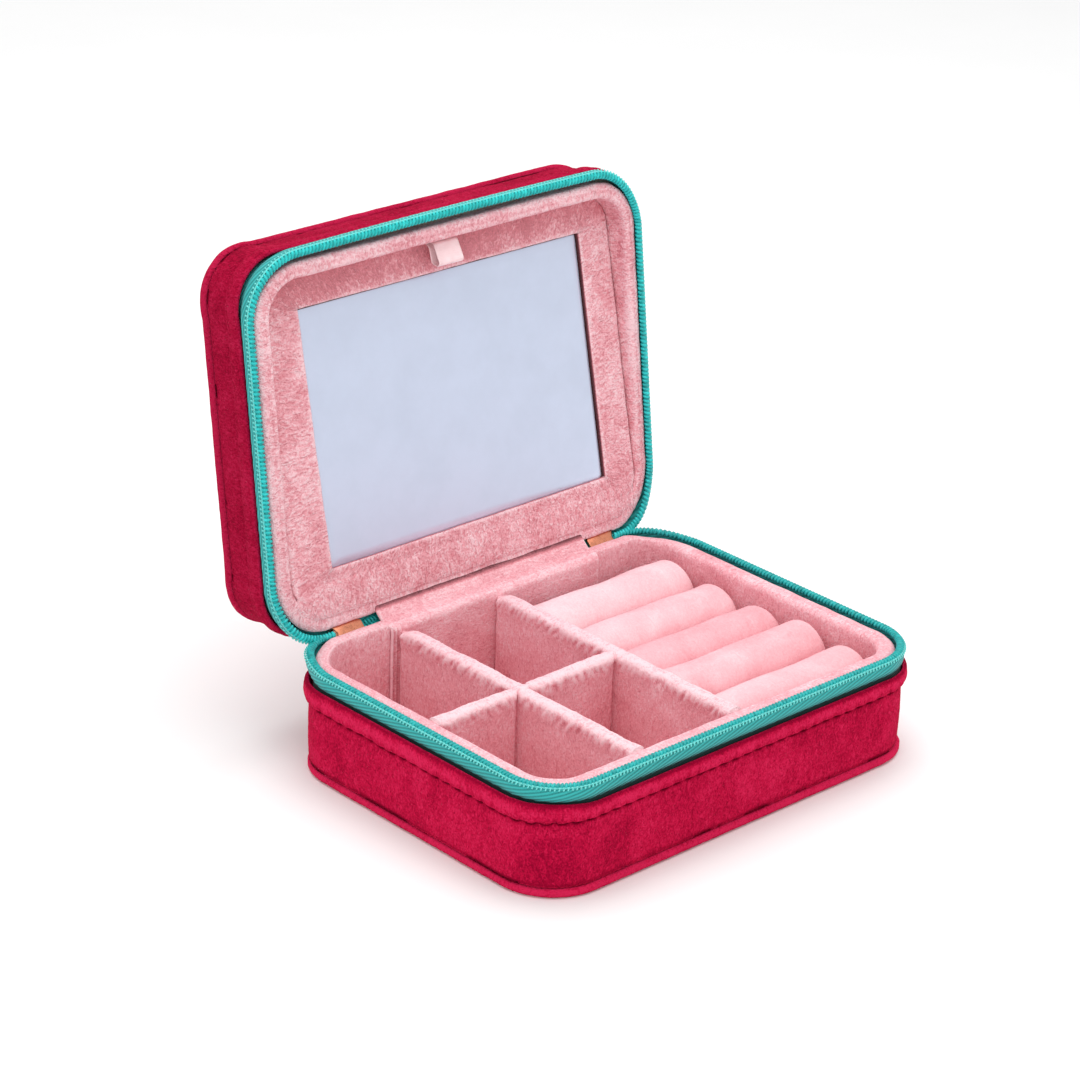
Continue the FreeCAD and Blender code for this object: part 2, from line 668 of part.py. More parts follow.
def mirror_outline(sketch, margin):
    """The mirror's rectangle, grown by a margin on every side."""
    half_x, half_y = f"(Dims.mirror_width / 2 + {margin})", f"(Dims.mirror_height / 2 + {margin})"
    left, right = f"(Dims.mirror_x - {half_x})", f"(Dims.mirror_x + {half_x})"
    low, high = f"(Dims.mirror_y - {half_y})", f"(Dims.mirror_y + {half_y})"
    polygon(sketch, [(left, low), (right, low), (right, high), (left, high)])


def flap_layer(label, outlines, foot, top):
    """One flat layer of the flap, drawn by the given outline functions."""
    body = new_body(label)
    sketch = new_sketch(body, label + "_outline", "XY_Plane", foot)
    for outline in outlines:
        outline(sketch)
    pad(body, label + "_pad", sketch, f"{top} - {foot}")
    keep(body, label, ON_FLAP)


def mirror_window(sketch):
    """The window in the velvet face, a little larger than the glass."""
    mirror_outline(sketch, "Dims.mirror_gap")


def mirror_edge(sketch):
    """The glass's own edge."""
    mirror_outline(sketch, "0")


def mirror_pad_edge(sketch):
    """The foam pad that holds the glass, drawn in behind it."""
    mirror_outline(sketch, "-Dims.mirror_pad_margin")


flap_layer("flap_face", [flap_outline, mirror_window], FACE, FACE_BACK)
flap_layer("flap_board", [flap_outline], FACE_BACK, BOARD_BACK)
flap_layer("flap_back", [flap_outline], BOARD_BACK, FLAP_BACK)
flap_layer("mirror_glass", [mirror_edge], MIRROR_FACE, MIRROR_BACK)
flap_layer("mirror_pad", [mirror_pad_edge], MIRROR_BACK, FACE_BACK)


def flap_hinge_strip():
    """The rolled fabric edge that the flap turns about, carried on the lid's lining."""
    body = new_body("flap_hinge_strip")
    length = f"{FLAP_HALF_WIDTH} - Dims.flap_radius"
    sketch = new_sketch(body, "flap_hinge_section", "YZ_Plane", f"-({length})")
    axis = Vector(FLAP_HINGE.y, FLAP_HINGE.z)
    radius = "Dims.flap_hinge_radius"
    roll = sketch.addGeometry(Part.Circle(axis, Vector(0, 0, 1), value(radius)))
    bind(sketch, "Radius", roll, size=radius)
    bind(sketch, "DistanceX", -1, 1, roll, 3, size="Dims.flap_hinge_y")
    bind(sketch, "DistanceY", -1, 1, roll, 3, size=f"{CLOSING} + Dims.flap_hinge_depth")
    pad(body, "flap_hinge_roll", sketch, f"2 * ({length})")
    keep(body, "flap_hinge_strip", ON_LID)


flap_hinge_strip()


def flap_ledge():
    """The padded step behind the flap's upper edge that it leans on."""
    body = new_body("flap_ledge")
    drop = "tan(Dims.flap_tilt)"
    near, far = FLAP_TOP, f"({FLAP_TOP} + Dims.ledge_width)"
    rest = f"({FLAP_BACK} + Dims.flap_gap / 2)"
    left_end = f"Dims.flap_radius - {FLAP_HALF_WIDTH}"
    sketch = new_sketch(body, "flap_ledge_section", "YZ_Plane", left_end)
    polygon(sketch, [
        (near, f"{rest} + (Dims.flap_hinge_y - {near}) * {drop}"),
        (far, f"{rest} + (Dims.flap_hinge_y - {far}) * {drop}"),
        (far, f"({LID_PAD_FACE} - Dims.layer_gap)"),
        (near, f"({LID_PAD_FACE} - Dims.layer_gap)"),
    ])
    pad(body, "flap_ledge_pad", sketch, f"2 * ({FLAP_HALF_WIDTH} - Dims.flap_radius)")
    keep(body, "flap_ledge", ON_LID)


flap_ledge()


def ribbon_loop():
    """A satin pull: a loop of ribbon that stands out from the flap's face above the mirror."""
    body = new_body("ribbon_loop")
    sketch = new_sketch(body, "ribbon_section", "YZ_Plane", "-Dims.ribbon_width / 2")
    thick, face = "Dims.ribbon_thickness", f"({FACE} - Dims.layer_gap)"
    top, foot = "Dims.ribbon_top", "Dims.ribbon_foot"
    shoulder, bow = "Dims.ribbon_shoulder", "Dims.ribbon_bow"
    reach = f"({face} - Dims.ribbon_reach)"
    bend = f"({reach} + {shoulder})"
    inner_bend = f"({bend} + {thick})"
    polygon(sketch, [
        (top, face),
        (f"({top} - {thick})", bend),
        (f"({top} + {thick})", reach),
        (f"({foot} - {bow})", bend),
        (f"({foot} + {thick})", face),
        (foot, face),
        (f"({foot} - {bow} - {thick})", inner_bend),
        (f"({top} + {shoulder})", f"({reach} + {thick})"),
        (f"({top} + {thick} / 2)", inner_bend),
        (f"({top} + {thick})", face),
    ])
    pad(body, "ribbon_pad", sketch, "Dims.ribbon_width")
    keep(body, "ribbon_loop", ON_FLAP)


ribbon_loop()


# Zip sliders and pulls, drawn with the case shut, the chain's plane upright and the outside at +Y
PLATE_INSIDE = "Dims.slider_half_gap"
PLATE_OUTSIDE = "(Dims.slider_half_gap + Dims.slider_plate)"
PULL_AXIS_Y = f"({HINGE_Y} + {PLATE_OUTSIDE} + Dims.pull_axis_rise)"


def from_hinge(low, high):
    """A range across the zip's plane, measured out from the hinge axis."""
    return f"({HINGE_Y} + {low})", f"({HINGE_Y} + {high})"


def up_down(low, high):
    """A range along the zip's width, measured from the closing plane."""
    return f"({CLOSING} + {low})", f"({CLOSING} + {high})"


def along(centre, outward, near, far):
    """A range along the hinge from a slider's middle, with outward pointing away from the spine."""
    ends = (f"({centre} + {outward} * ({near}))", f"({centre} + {outward} * ({far}))")
    return ends if outward > 0 else ends[::-1]


def slider_plate(name, x_range, y_range, z_range):
    """A plate of the slider, with its four corners rounded."""
    plate = box(name, x_range, y_range, z_range)
    doc.recompute()
    radius = value("Dims.slider_round")
    corners = []
    for number, edge in enumerate(plate.Shape.Edges, start=1):
        extent = edge.BoundBox
        if extent.XLength + extent.ZLength < NEARLY < extent.YLength:
            corners.append((number, radius, radius))
    rounded = doc.addObject("Part::Fillet", name + "_round")
    rounded.Base = plate
    rounded.Edges = corners
    return rounded


def make_slider_body(side, outward, centre):
    """Two plates, the post between them that parts the coils, and the flanges that hold the tapes."""
    half, half_width = "Dims.slider_length / 2", "Dims.slider_half_width"
    whole = along(centre, outward, f"-{half}", half)
    straight = along(centre, outward, f"Dims.slider_round - {half}", f"{half} - Dims.slider_round")
    inner = (f"-{PLATE_OUTSIDE}", f"-{PLATE_INSIDE}")
    outer = (PLATE_INSIDE, PLATE_OUTSIDE)
    pieces = []
    for name, (near, far) in (("inner", inner), ("outer", outer)):
        height = up_down(f"-{half_width}", half_width)
        pieces.append(slider_plate(f"{side}_{name}_plate", whole, from_hinge(near, far), height))
    post_end = f"{half} - Dims.layer_gap"
    pieces.append(box(
        f"{side}_post",
        along(centre, outward, f"{post_end} - Dims.slider_post_length", post_end),
        from_hinge(f"-{PLATE_INSIDE}", PLATE_INSIDE),
        up_down("-Dims.slider_post_half_width", "Dims.slider_post_half_width"),
    ))
    upper = (f"{half_width} - Dims.slider_flange", half_width)
    lower = (f"-{half_width}", f"Dims.slider_flange - {half_width}")
    inner_lip = (f"-{PLATE_INSIDE}", f"Dims.slider_flange_depth - {PLATE_INSIDE}")
    outer_lip = (f"{PLATE_INSIDE} - Dims.slider_flange_depth", PLATE_INSIDE)
    for edge, height in (("upper", upper), ("lower", lower)):
        for face, depth in (("inner", inner_lip), ("outer", outer_lip)):
            name = f"{side}_{edge}_{face}_flange"
            pieces.append(box(name, straight, from_hinge(*depth), up_down(*height)))
    keep(fuse(f"{side}_slider_fuse", pieces), f"{side}_slider_body", ON_ZIP_TAIL)


def make_slider_bridge(side, outward, centre):
    """The arch on the outer plate that the pull hangs from."""
    half = "Dims.bridge_length / 2"
    height = up_down("-Dims.bridge_half_width", "Dims.bridge_half_width")
    top = f"({PLATE_OUTSIDE} + Dims.bridge_height)"
    depth = from_hinge(PLATE_OUTSIDE, top)
    spans = {
        "near_leg": (f"-{half}", f"Dims.bridge_leg - {half}"),
        "far_leg": (f"{half} - Dims.bridge_leg", half),
    }
    pieces = [
        box(f"{side}_bridge_{name}", along(centre, outward, near, far), depth, height)
        for name, (near, far) in spans.items()
    ]
    over = from_hinge(f"{top} - Dims.bridge_bar", top)
    pieces.append(box(f"{side}_bridge_bar", along(centre, outward, f"-{half}", half), over, height))
    keep(fuse(f"{side}_bridge_fuse", pieces), f"{side}_slider_bridge", ON_ZIP_TAIL)


def make_chain_tail(side, outward, centre, spine_edge):
    """The closed end of the zip between a slider and the spine: tape with the meshed coils on it."""
    spine_end = f"-{outward} * ({centre} - ({spine_edge})) + Dims.tail_spine_gap"
    run = along(centre, outward, spine_end, "-Dims.tail_in_slider")
    pieces = []
    for layer in ("coil", "tape"):
        thick, wide = f"Dims.tail_{layer}_half_thickness", f"Dims.tail_{layer}_half_width"
        depth, height = from_hinge(f"-{thick}", thick), up_down(f"-{wide}", wide)
        pieces.append(box(f"{side}_tail_{layer}", run, depth, height))
    keep(fuse(f"{side}_tail_fuse", pieces), f"{side}_chain_tail", ON_ZIP_TAIL)


def make_pull(side):
    """A pull tab whose cross bar sits under the bridge, standing straight out from the slider."""
    centre = f"Dims.{side}_slider_x"
    half_width = "Dims.pull_half_width"
    bar = doc.addObject("Part::Cylinder", f"{side}_pull_bar")
    bar.setExpression("Radius", "Dims.pull_bar_radius")
    bar.setExpression("Height", f"2 * {half_width}")
    for axis, spot in zip("xyz", (centre, PULL_AXIS_Y, f"{CLOSING} - {half_width}")):
        bar.setExpression(f"Placement.Base.{axis}", spot)
    across_x = (f"({centre} - Dims.pull_half_thickness)", f"({centre} + Dims.pull_half_thickness)")
    eye_end = f"({PULL_AXIS_Y} + Dims.pull_eye_length)"
    upper = (f"{half_width} - Dims.pull_arm", half_width)
    lower = (f"-{half_width}", f"Dims.pull_arm - {half_width}")
    arms = [
        box(f"{side}_pull_{name}_arm", across_x, (PULL_AXIS_Y, eye_end), up_down(*height))
        for name, height in (("upper", upper), ("lower", lower))
    ]
    tab = box(f"{side}_pull_tab", across_x, (eye_end, f"({PULL_AXIS_Y} + Dims.pull_length)"),
              up_down(f"-{half_width}", half_width))
    hole = doc.addObject("Part::Cylinder", f"{side}_pull_hole")
    hole.setExpression("Radius", "Dims.pull_hole_radius")
    hole.setExpression("Height", "Dims.pull_hole_depth")
    hole_x = value(f"{centre} - Dims.pull_hole_depth / 2")
    hole_y = value(f"{PULL_AXIS_Y} + Dims.pull_length - Dims.pull_hole_setback")
    hole.Placement = Placement(Vector(hole_x, hole_y, HINGE.z), ALONG_X)
    holed = doc.addObject("Part::Cut", f"{side}_pull_holed")
    holed.Base = fuse(f"{side}_pull_fuse", [bar, tab] + arms)
    holed.Tool = hole
    keep(holed, f"{side}_pull", ON_ZIP_TAIL)


for side, outward, spine_edge in (("left", -1, "Dims.spine_left"), ("right", 1, "Dims.spine_right")):
    slider_middle = f"Dims.{side}_slider_x"
    make_slider_body(side, outward, slider_middle)
    make_slider_bridge(side, outward, slider_middle)
    make_chain_tail(side, outward, slider_middle, spine_edge)
    make_pull(side)


# Check every object, then write each sub-part to its own file
doc.recompute()
for thing in doc.Objects:
    if {"Invalid", "Error"} & set(thing.State):
        raise RuntimeError(f"{thing.Label} failed: {thing.State}")
for node in nodes:
    if node.Shape.isNull() or not node.Shape.isValid() or not node.Shape.Solids:
        raise RuntimeError(f"{node.Label} is not a valid solid")

os.makedirs("parts", exist_ok=True)
for node in nodes:
    node.Shape.exportStep(f"parts/{node.Label}.step")
    print(node.Label, round(node.Shape.Volume, 1), "mm3")
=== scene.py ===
import json
import math

import bmesh
import bpy
import numpy as np
from bpy.props import FloatProperty, FloatVectorProperty, PointerProperty
from bpy.types import Operator, Panel, PropertyGroup
from mathutils import Matrix, Vector, noise


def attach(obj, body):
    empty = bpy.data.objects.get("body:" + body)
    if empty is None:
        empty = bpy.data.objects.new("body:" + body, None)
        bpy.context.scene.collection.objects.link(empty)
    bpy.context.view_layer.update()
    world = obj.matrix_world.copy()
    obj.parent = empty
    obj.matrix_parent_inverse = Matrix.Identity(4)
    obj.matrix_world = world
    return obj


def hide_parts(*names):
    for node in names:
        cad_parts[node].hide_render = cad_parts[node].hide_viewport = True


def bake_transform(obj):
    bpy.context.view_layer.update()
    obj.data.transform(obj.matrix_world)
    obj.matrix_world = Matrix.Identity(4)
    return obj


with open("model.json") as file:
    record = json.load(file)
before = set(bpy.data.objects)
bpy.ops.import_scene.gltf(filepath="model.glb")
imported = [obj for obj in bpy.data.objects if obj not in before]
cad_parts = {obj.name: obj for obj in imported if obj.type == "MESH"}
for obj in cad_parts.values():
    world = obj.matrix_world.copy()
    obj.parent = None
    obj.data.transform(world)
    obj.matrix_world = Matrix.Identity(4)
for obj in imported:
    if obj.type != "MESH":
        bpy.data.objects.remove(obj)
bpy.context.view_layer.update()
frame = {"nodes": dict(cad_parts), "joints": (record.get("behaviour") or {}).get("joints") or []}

bl_info = {
    "name": "Velvet Jewelry Box",
    "version": (1, 0, 0),
    "blender": (4, 5, 0),
    "location": "View3D > Sidebar > Jewelry Box",
    "description": "Dresses a zip-round velvet jewelry box around its construction",
    "category": "Object",
}

MM = 0.001
FULL_TURN = 2 * math.pi

# One band of a wave texture, and how steeply the ribs climb along the zip tape
WAVE_TURN = FULL_TURN / 20
TAPE_CLIMB = 0.25

# The part that painted light on convex edges and painted shade in hollows play in a velvet's tone, the
# per-point attribute of painted shade (painted light where negative), and how far it darkens a finish
EDGE_SHARE = 0.68
SHADE = "crease_shade"
SHADE_DEPTH = 0.3

# Which ways a grid of points closes on itself: along its rows, along its columns
RING, BAND, PLATE = (True, True), (False, True), (True, False)

# Columns over which the swelling of a plate fades out beside its flat middle
FLAT_COLUMNS = 5

# Where the moving bodies stand at rest: lid pieces are drawn shut, then turned open
JOINTS = {joint["name"]: joint for joint in frame["joints"]}
FLAP_TILT = math.radians(4.9)


def turn_about(spot, angle):
    """A turn about a line along X through a spot."""
    there = Matrix.Translation(spot)
    return there @ Matrix.Rotation(angle, 4, "X") @ there.inverted()


HINGE = Vector(JOINTS["lid_hinge"]["pos_m"])
LID_ANGLE = math.radians(JOINTS["lid_hinge"]["range_deg"][0])
AT_HOME = Matrix.Identity(4)
ON_LID = turn_about(HINGE, LID_ANGLE)
ON_TAIL = turn_about(HINGE, LID_ANGLE / 2)
FLAP_HINGE = ON_LID.inverted() @ Vector(JOINTS["mirror_flap_swing"]["pos_m"])
ON_FLAP = ON_LID @ turn_about(FLAP_HINGE, -FLAP_TILT)

# The two halves of the case: body, how it lies, and the way into it from the closing plane
HALVES = (("base", AT_HOME, -1), ("lid", ON_LID, 1))
# The lid's outer velvet is a darker copy of the crimson: painted shade
OUTER_VELVET = {"base": "crimson_velvet", "lid": "crimson_shade"}
# The lid's coil is a brighter copy of the same nylon: painted light
COIL_NYLON = {"base": "teal_coil", "lid": "teal_coil_light"}
HEM_BRIM = {"base": 1.1 * MM, "lid": 0.35 * MM}


def extent(node, turn=AT_HOME):
    """Lowest and highest corner of a CAD node as it lies with the case shut."""
    back = np.array(turn.inverted())
    spots = np.array([v.co for v in frame["nodes"][node].data.vertices])
    spots = spots @ back[:3, :3].T + back[:3, 3]
    return spots.min(0), spots.max(0)


def rim_piece(node, turn, way):
    """The edge of a node beside the closing plane, and how tall the node is."""
    low, high = extent(node, turn)
    edge, far = (low[2], high[2]) if way > 0 else (high[2], low[2])
    return edge, abs(far - edge)


# Sizes and colours that a user would change
def size(name, description, millimetres):
    return FloatProperty(name=name, description=description, default=millimetres * MM, unit="LENGTH",
                         precision=5)


def colour(name, description, red, green, blue):
    return FloatVectorProperty(name=name, description=description, default=(red, green, blue),
                               subtype="COLOR", min=0.0, max=1.0)


class CaseSizes(PropertyGroup):
    """Sizes of the soft and sewn pieces"""
    corner_radius: size("Corner radius", "Radius of the case's four upright corners", 18.5)
    cloth_step: size("Cloth step", "Spacing of the points of a velvet surface", 0.8)
    hem_roll: size("Hem roll", "Radius of the rolled hem beside the zip", 0.7)
    hem_drop: size("Hem stitch drop", "Distance of the stitch line from the hem's edge", 5.4)
    hem_fold: size("Hem fold", "Height by which the folded hem stands out", 1.25)
    hem_stitch: size("Hem stitch", "Length of one stitch and its gap", 4.5)
    coil_pitch: size("Coil pitch", "Spacing of the zip's teeth", 1.25)
    coil_wire: size("Coil wire", "Radius of the zip's nylon wire", 0.43)
    tape_rib: size("Tape rib", "Spacing of the ribs woven into the zip tape", 0.92)
    rim_roll: size("Rim roll", "Radius of the base lining's rim", 2.3)
    lid_rim_roll: size("Lid rim roll", "Radius of the lid lining's rim", 1.7)
    lid_opening_radius: size("Lid opening radius", "Corner radius of the opening inside the lid", 10.5)
    flap_radius: size("Flap radius", "Corner radius of the mirror flap", 9.5)
    divider_roll: size("Divider roll", "Radius of a divider's padded top edge", 1.7)
    ribbon_width: size("Ribbon width", "Width of the satin pull", 9.0)


class CaseColours(PropertyGroup):
    """Colours of the cloths, the zip and the metal"""
    crimson_deep: colour("Crimson shade", "Velvet looked at into the pile", 0.32, 0.0012, 0.027)
    crimson: colour("Crimson", "Outer velvet", 0.535, 0.005, 0.048)
    crimson_bright: colour("Crimson light", "Velvet brushed the other way", 0.70, 0.018, 0.088)
    pink_deep: colour("Pink shade", "Lining velvet looked at into the pile", 0.74, 0.27, 0.31)
    pink: colour("Pink", "Lining velvet", 0.90, 0.44, 0.49)
    pink_bright: colour("Pink light", "Lining velvet brushed the other way", 1.0, 0.68, 0.72)
    ring_deep: colour("Roll shade", "Ring roll velvet looked at into the pile", 0.86, 0.40, 0.44)
    ring: colour("Roll pink", "Ring roll velvet", 0.97, 0.56, 0.60)
    ring_bright: colour("Roll light", "Ring roll velvet brushed the other way", 1.0, 0.74, 0.77)
    teal: colour("Teal", "Zip coil", 0.007, 0.40, 0.39)
    teal_tape: colour("Teal tape", "Woven zip tape", 0.022, 0.35, 0.34)
    teal_thread: colour("Teal thread", "Thread that sews the coil to its tape", 0.14, 0.68, 0.64)
    satin: colour("Satin", "Ribbon pull", 0.98, 0.72, 0.74)
    rose_gold: colour("Rose gold", "Sliders and pulls", 0.72, 0.27, 0.16)
    # The mirror's pale blue-grey is partly a painted reflection, laid into its diffuse colour
    glass: colour("Mirror", "Silvered glass", 0.60, 0.67, 0.82)
    board: colour("Greyboard", "Stiffening board", 0.36, 0.31, 0.26)
    foam: colour("Foam tape", "Pad behind the glass", 0.05, 0.05, 0.055)
    floor: colour("Floor", "Pale studio floor", 0.93, 0.93, 0.93)


class StudioSettings(PropertyGroup):
    """Camera and light"""
    camera_place: FloatVectorProperty(name="Camera", description="Where the camera stands",
                                      default=(-0.6287, -0.6326, 0.4654), unit="LENGTH")
    heading: FloatProperty(name="Heading", description="Turn of the camera from looking along Y",
                           default=math.radians(-43.46), subtype="ANGLE")
    elevation: FloatProperty(name="Elevation", description="Downward tilt of the camera",
                             default=math.radians(24.10), subtype="ANGLE")
    roll: FloatProperty(name="Roll", description="Turn of the camera about its own line of sight",
                        default=math.radians(2.07), subtype="ANGLE")
    lens: FloatProperty(name="Lens", description="Focal length on a 36 mm frame", default=116.74)
    sky: FloatProperty(name="Sky", description="Strength of the white surroundings", default=0.88)
    top_light: FloatProperty(name="Top light", description="Power of the overhead softbox", default=3.6,
                             unit="POWER")
    side_light: FloatProperty(name="Side light", description="Power of the softbox on the left",
                              default=0.8, unit="POWER")


def sizes():
    return bpy.context.scene.jewelry_sizes


def colours():
    return bpy.context.scene.jewelry_colours


# Shader helpers
class Finish:
    """One material's node tree, ending in a single surface shader."""

    def __init__(self, name):
        self.material = bpy.data.materials.new(name + "_finish")
        self.material.use_nodes = True
        self.tree = self.material.node_tree
        self.surface = self.tree.nodes["Principled BSDF"]

    def node(self, kind, inputs=None, **settings):
        made = self.tree.nodes.new("ShaderNode" + kind)
        for name, setting in settings.items():
            setattr(made, name, setting)
        for name, given in (inputs or {}).items():
            self.feed(made.inputs[name], given)
        return made

    def feed(self, socket, given):
        """Link a socket to another one, or set its own value."""
        if isinstance(given, bpy.types.NodeSocket):
            self.tree.links.new(given, socket)
        else:
            socket.default_value = given

    def shade(self, **inputs):
        """Set the surface's own sockets, written with underscores for spaces."""
        for name, given in inputs.items():
            self.feed(self.surface.inputs[name.replace("_", " ")], given)

    def place(self, kind="Object"):
        return self.node("TexCoord").outputs[kind]

    def stretched(self, place, scale, turn=0.0):
        inputs = {"Vector": place, "Scale": scale, "Rotation": (0.0, 0.0, turn)}
        return self.node("Mapping", inputs).outputs["Vector"]

    def noise(self, place, grain, detail=2.0, roughness=0.5, distortion=0.0):
        """Even noise whose blots are about one grain across, in metres."""
        inputs = {"Vector": place, "Scale": 1 / grain, "Detail": detail, "Roughness": roughness,
                  "Distortion": distortion}
        return self.node("TexNoise", inputs).outputs["Fac"]

    def sum(self, first, first_share, second, second_share):
        scaled = self.node("Math", {0: first, 1: first_share}, operation="MULTIPLY").outputs[0]
        inputs = {0: second, 1: second_share, 2: scaled}
        return self.node("Math", inputs, operation="MULTIPLY_ADD").outputs[0]

    def ramp(self, factor, stops):
        made = self.node("ValToRGB", {"Fac": factor})
        points = made.color_ramp.elements
        while len(points) < len(stops):
            points.new(0.5)
        for point, (where, tint) in zip(points, stops):
            point.position = where
            point.color = (*tint, 1.0)
        return made.outputs["Color"]

    def graded(self, factor, tint, stops, lift=0.0):
        """A ramp through shares of one colour, given as (where, share). The last is lifted towards white."""
        tints = [[share * t for t in tint] for where, share in stops]
        tints[-1] = [t + lift for t in tints[-1]]
        return self.ramp(factor, [(where, [min(1.0, t) for t in graded])
                                  for (where, share), graded in zip(stops, tints)])

    def greys(self, factor, dark, light):
        """A ramp between two greys, for a surface's roughness."""
        return self.ramp(factor, [(0.3, (dark, dark, dark)), (0.7, (light, light, light))])

    def shaded(self):
        """The painted shade that the mesh stores at a spot: positive paints shade, negative paints light."""
        return self.node("Attribute", attribute_name=SHADE).outputs["Fac"]

    def bump(self, height, strength, depth):
        inputs = {"Height": height, "Strength": strength, "Distance": depth}
        return self.node("Bump", inputs).outputs["Normal"]


# Each velvet's colour, its shade (a brightness factor; the lid's darker copy of the crimson is painted
# shade), sheen, length of pile, share of nap, contrast and relief
VELVETS = {
    "crimson_velvet": ("crimson", 1.0, 0.08, 0.75 * MM, 0.3, 0.125, 0.8 * MM),
    "crimson_shade": ("crimson", 0.69, 0.08, 0.75 * MM, 0.3, 0.125, 0.8 * MM),
    "pink_velvet": ("pink", 0.965, 0.12, 1.05 * MM, 0.3, 0.105, 0.95 * MM),
    "pink_lining": ("pink", 0.97, 0.12, 0.75 * MM, 0.3, 0.15, 0.5 * MM),
    "ring_velvet": ("ring", 0.95, 0.12, 0.7 * MM, 0.5, 0.24, 0.22 * MM),
}


def velvet(name):
    """Short pile that catches the light as it is brushed: nap, combed strokes and grain, with painted light
    on convex edges and painted shade in hollows.
    """
    family, shade, sheen, pile, nap_share, contrast, relief = VELVETS[name]
    tones = [[shade * t for t in getattr(colours(), family + part)] for part in ("_deep", "", "_bright")]
    shadow = [0.22 * t for t in tones[0]]
    made = Finish(name)
    here = made.place()
    combed = made.stretched(made.place("UV"), (1.0, 0.45, 1.0), 0.7)
    nap = made.noise(here, 15 * MM, detail=3.0, roughness=0.55, distortion=0.9)
    strokes = made.noise(combed, pile, detail=2.0, roughness=0.55, distortion=1.5)
    grain = made.noise(here, 0.6 * MM, detail=1.0)
    texture = made.sum(strokes, 0.62, grain, 0.38)
    tone = made.sum(nap, nap_share, texture, 1 - nap_share)
    # Pointiness paints light on convex edges and shade in hollows; then the mesh's painted shade is taken
    # off, down to a near-black shadow stop
    edges = made.node("NewGeometry").outputs["Pointiness"]
    tone = made.sum(edges, EDGE_SHARE, tone, 1 - EDGE_SHARE)
    tone = made.sum(tone, 1.0, made.shaded(), -SHADE_DEPTH)
    middle, spread, fall = 0.5, contrast * (1 - EDGE_SHARE), 0.2
    stops = (middle - spread - fall, middle - spread, middle, middle + spread)
    made.shade(
        Base_Color=made.ramp(tone, list(zip(stops, [shadow, *tones]))),
        Roughness=0.95,
        Specular_IOR_Level=0.04,
        Sheen_Weight=sheen,
        Sheen_Roughness=0.35,
        Sheen_Tint=(*tones[2], 1.0),
        Normal=made.bump(texture, 1.0, relief),
    )
    return made.material


def teal_tape():
    """Twill tape: raised ribs that climb slowly along it, over a fine weave."""
    made = Finish("teal_tape")
    lie = made.stretched(made.place("UV"), (1.0, 1.0, 1.0), math.atan(TAPE_CLIMB))
    inputs = {"Vector": lie, "Scale": WAVE_TURN / sizes().tape_rib, "Distortion": 0.6, "Detail": 1.0}
    ribs = made.node("TexWave", inputs, bands_direction="Y").outputs["Fac"]
    weave = made.noise(made.place("UV"), 0.3 * MM, detail=2.0)
    tone = made.sum(ribs, 0.6, weave, 0.4)
    # The mesh's painted shade darkens the tape beside the hem, down to a near-black stop
    shaded = made.sum(tone, 1.0, made.shaded(), -0.9)
    stops = [(0.05, 0.1), (0.22, 0.66), (0.52, 1.0), (0.8, 1.22)]
    made.shade(
        Base_Color=made.graded(shaded, colours().teal_tape, stops, lift=0.01),
        Roughness=0.7,
        Specular_IOR_Level=0.3,
        Sheen_Weight=0.15,
        Normal=made.bump(tone, 0.5, 0.2 * MM),
    )
    return made.material


def teal_coil(name="teal_coil", shade=1.0):
    """Nylon wire, slightly uneven in colour; shade scales the whole colour, and the lid's brighter copy is
    painted light.
    """
    made = Finish(name)
    tint = [shade * t for t in colours().teal]
    cloud = made.noise(made.place(), 1.6 * MM, detail=3.0)
    made.shade(
        Base_Color=made.graded(cloud, tint, [(0.3, 0.7), (0.5, 1.0), (0.7, 1.25)], lift=0.015),
        Roughness=0.38,
        Specular_IOR_Level=0.45,
        Normal=made.bump(made.noise(made.place(), 0.25 * MM), 0.15, 0.05 * MM),
    )
    return made.material


def thread_finish(name, tint):
    """Twisted sewing thread."""
    made = Finish(name)
    twist = made.noise(made.place(), 0.22 * MM, detail=2.0)
    made.shade(
        Base_Color=made.graded(twist, tint, [(0.35, 0.6), (0.5, 1.0), (0.7, 1.2)]),
        Roughness=0.6,
        Sheen_Weight=0.2,
        Normal=made.bump(twist, 0.4, 0.1 * MM),
    )
    return made.material


def satin_ribbon():
    """Woven satin: a smooth face with fine threads across it."""
    made = Finish("satin_ribbon")
    lie = made.stretched(made.place("UV"), (1.0, 0.06, 1.0))
    threads = made.noise(lie, 0.18 * MM, detail=2.0)
    cloud = made.noise(made.place(), 2.5 * MM, detail=2.0)
    tone = made.sum(threads, 0.4, cloud, 0.6)
    made.shade(
        Base_Color=made.graded(tone, colours().satin, [(0.35, 0.88), (0.5, 1.0), (0.65, 1.08)]),
        Roughness=0.34,
        Specular_IOR_Level=0.55,
        Sheen_Weight=0.3,
        Normal=made.bump(threads, 0.2, 0.06 * MM),
    )
    return made.material


def mirror():
    """Silvered glass under a faint haze of dust and handling; only partly metallic, its pale blue-grey
    diffuse colour is a painted reflection.
    """
    made = Finish("mirror")
    haze = made.noise(made.place(), 14 * MM, detail=4.0, roughness=0.65)
    made.shade(
        Base_Color=made.graded(haze, colours().glass, [(0.35, 1.0), (0.65, 1.05)]),
        Metallic=0.55,
        Roughness=made.greys(haze, 0.30, 0.38),
        Specular_IOR_Level=0.5,
    )
    return made.material


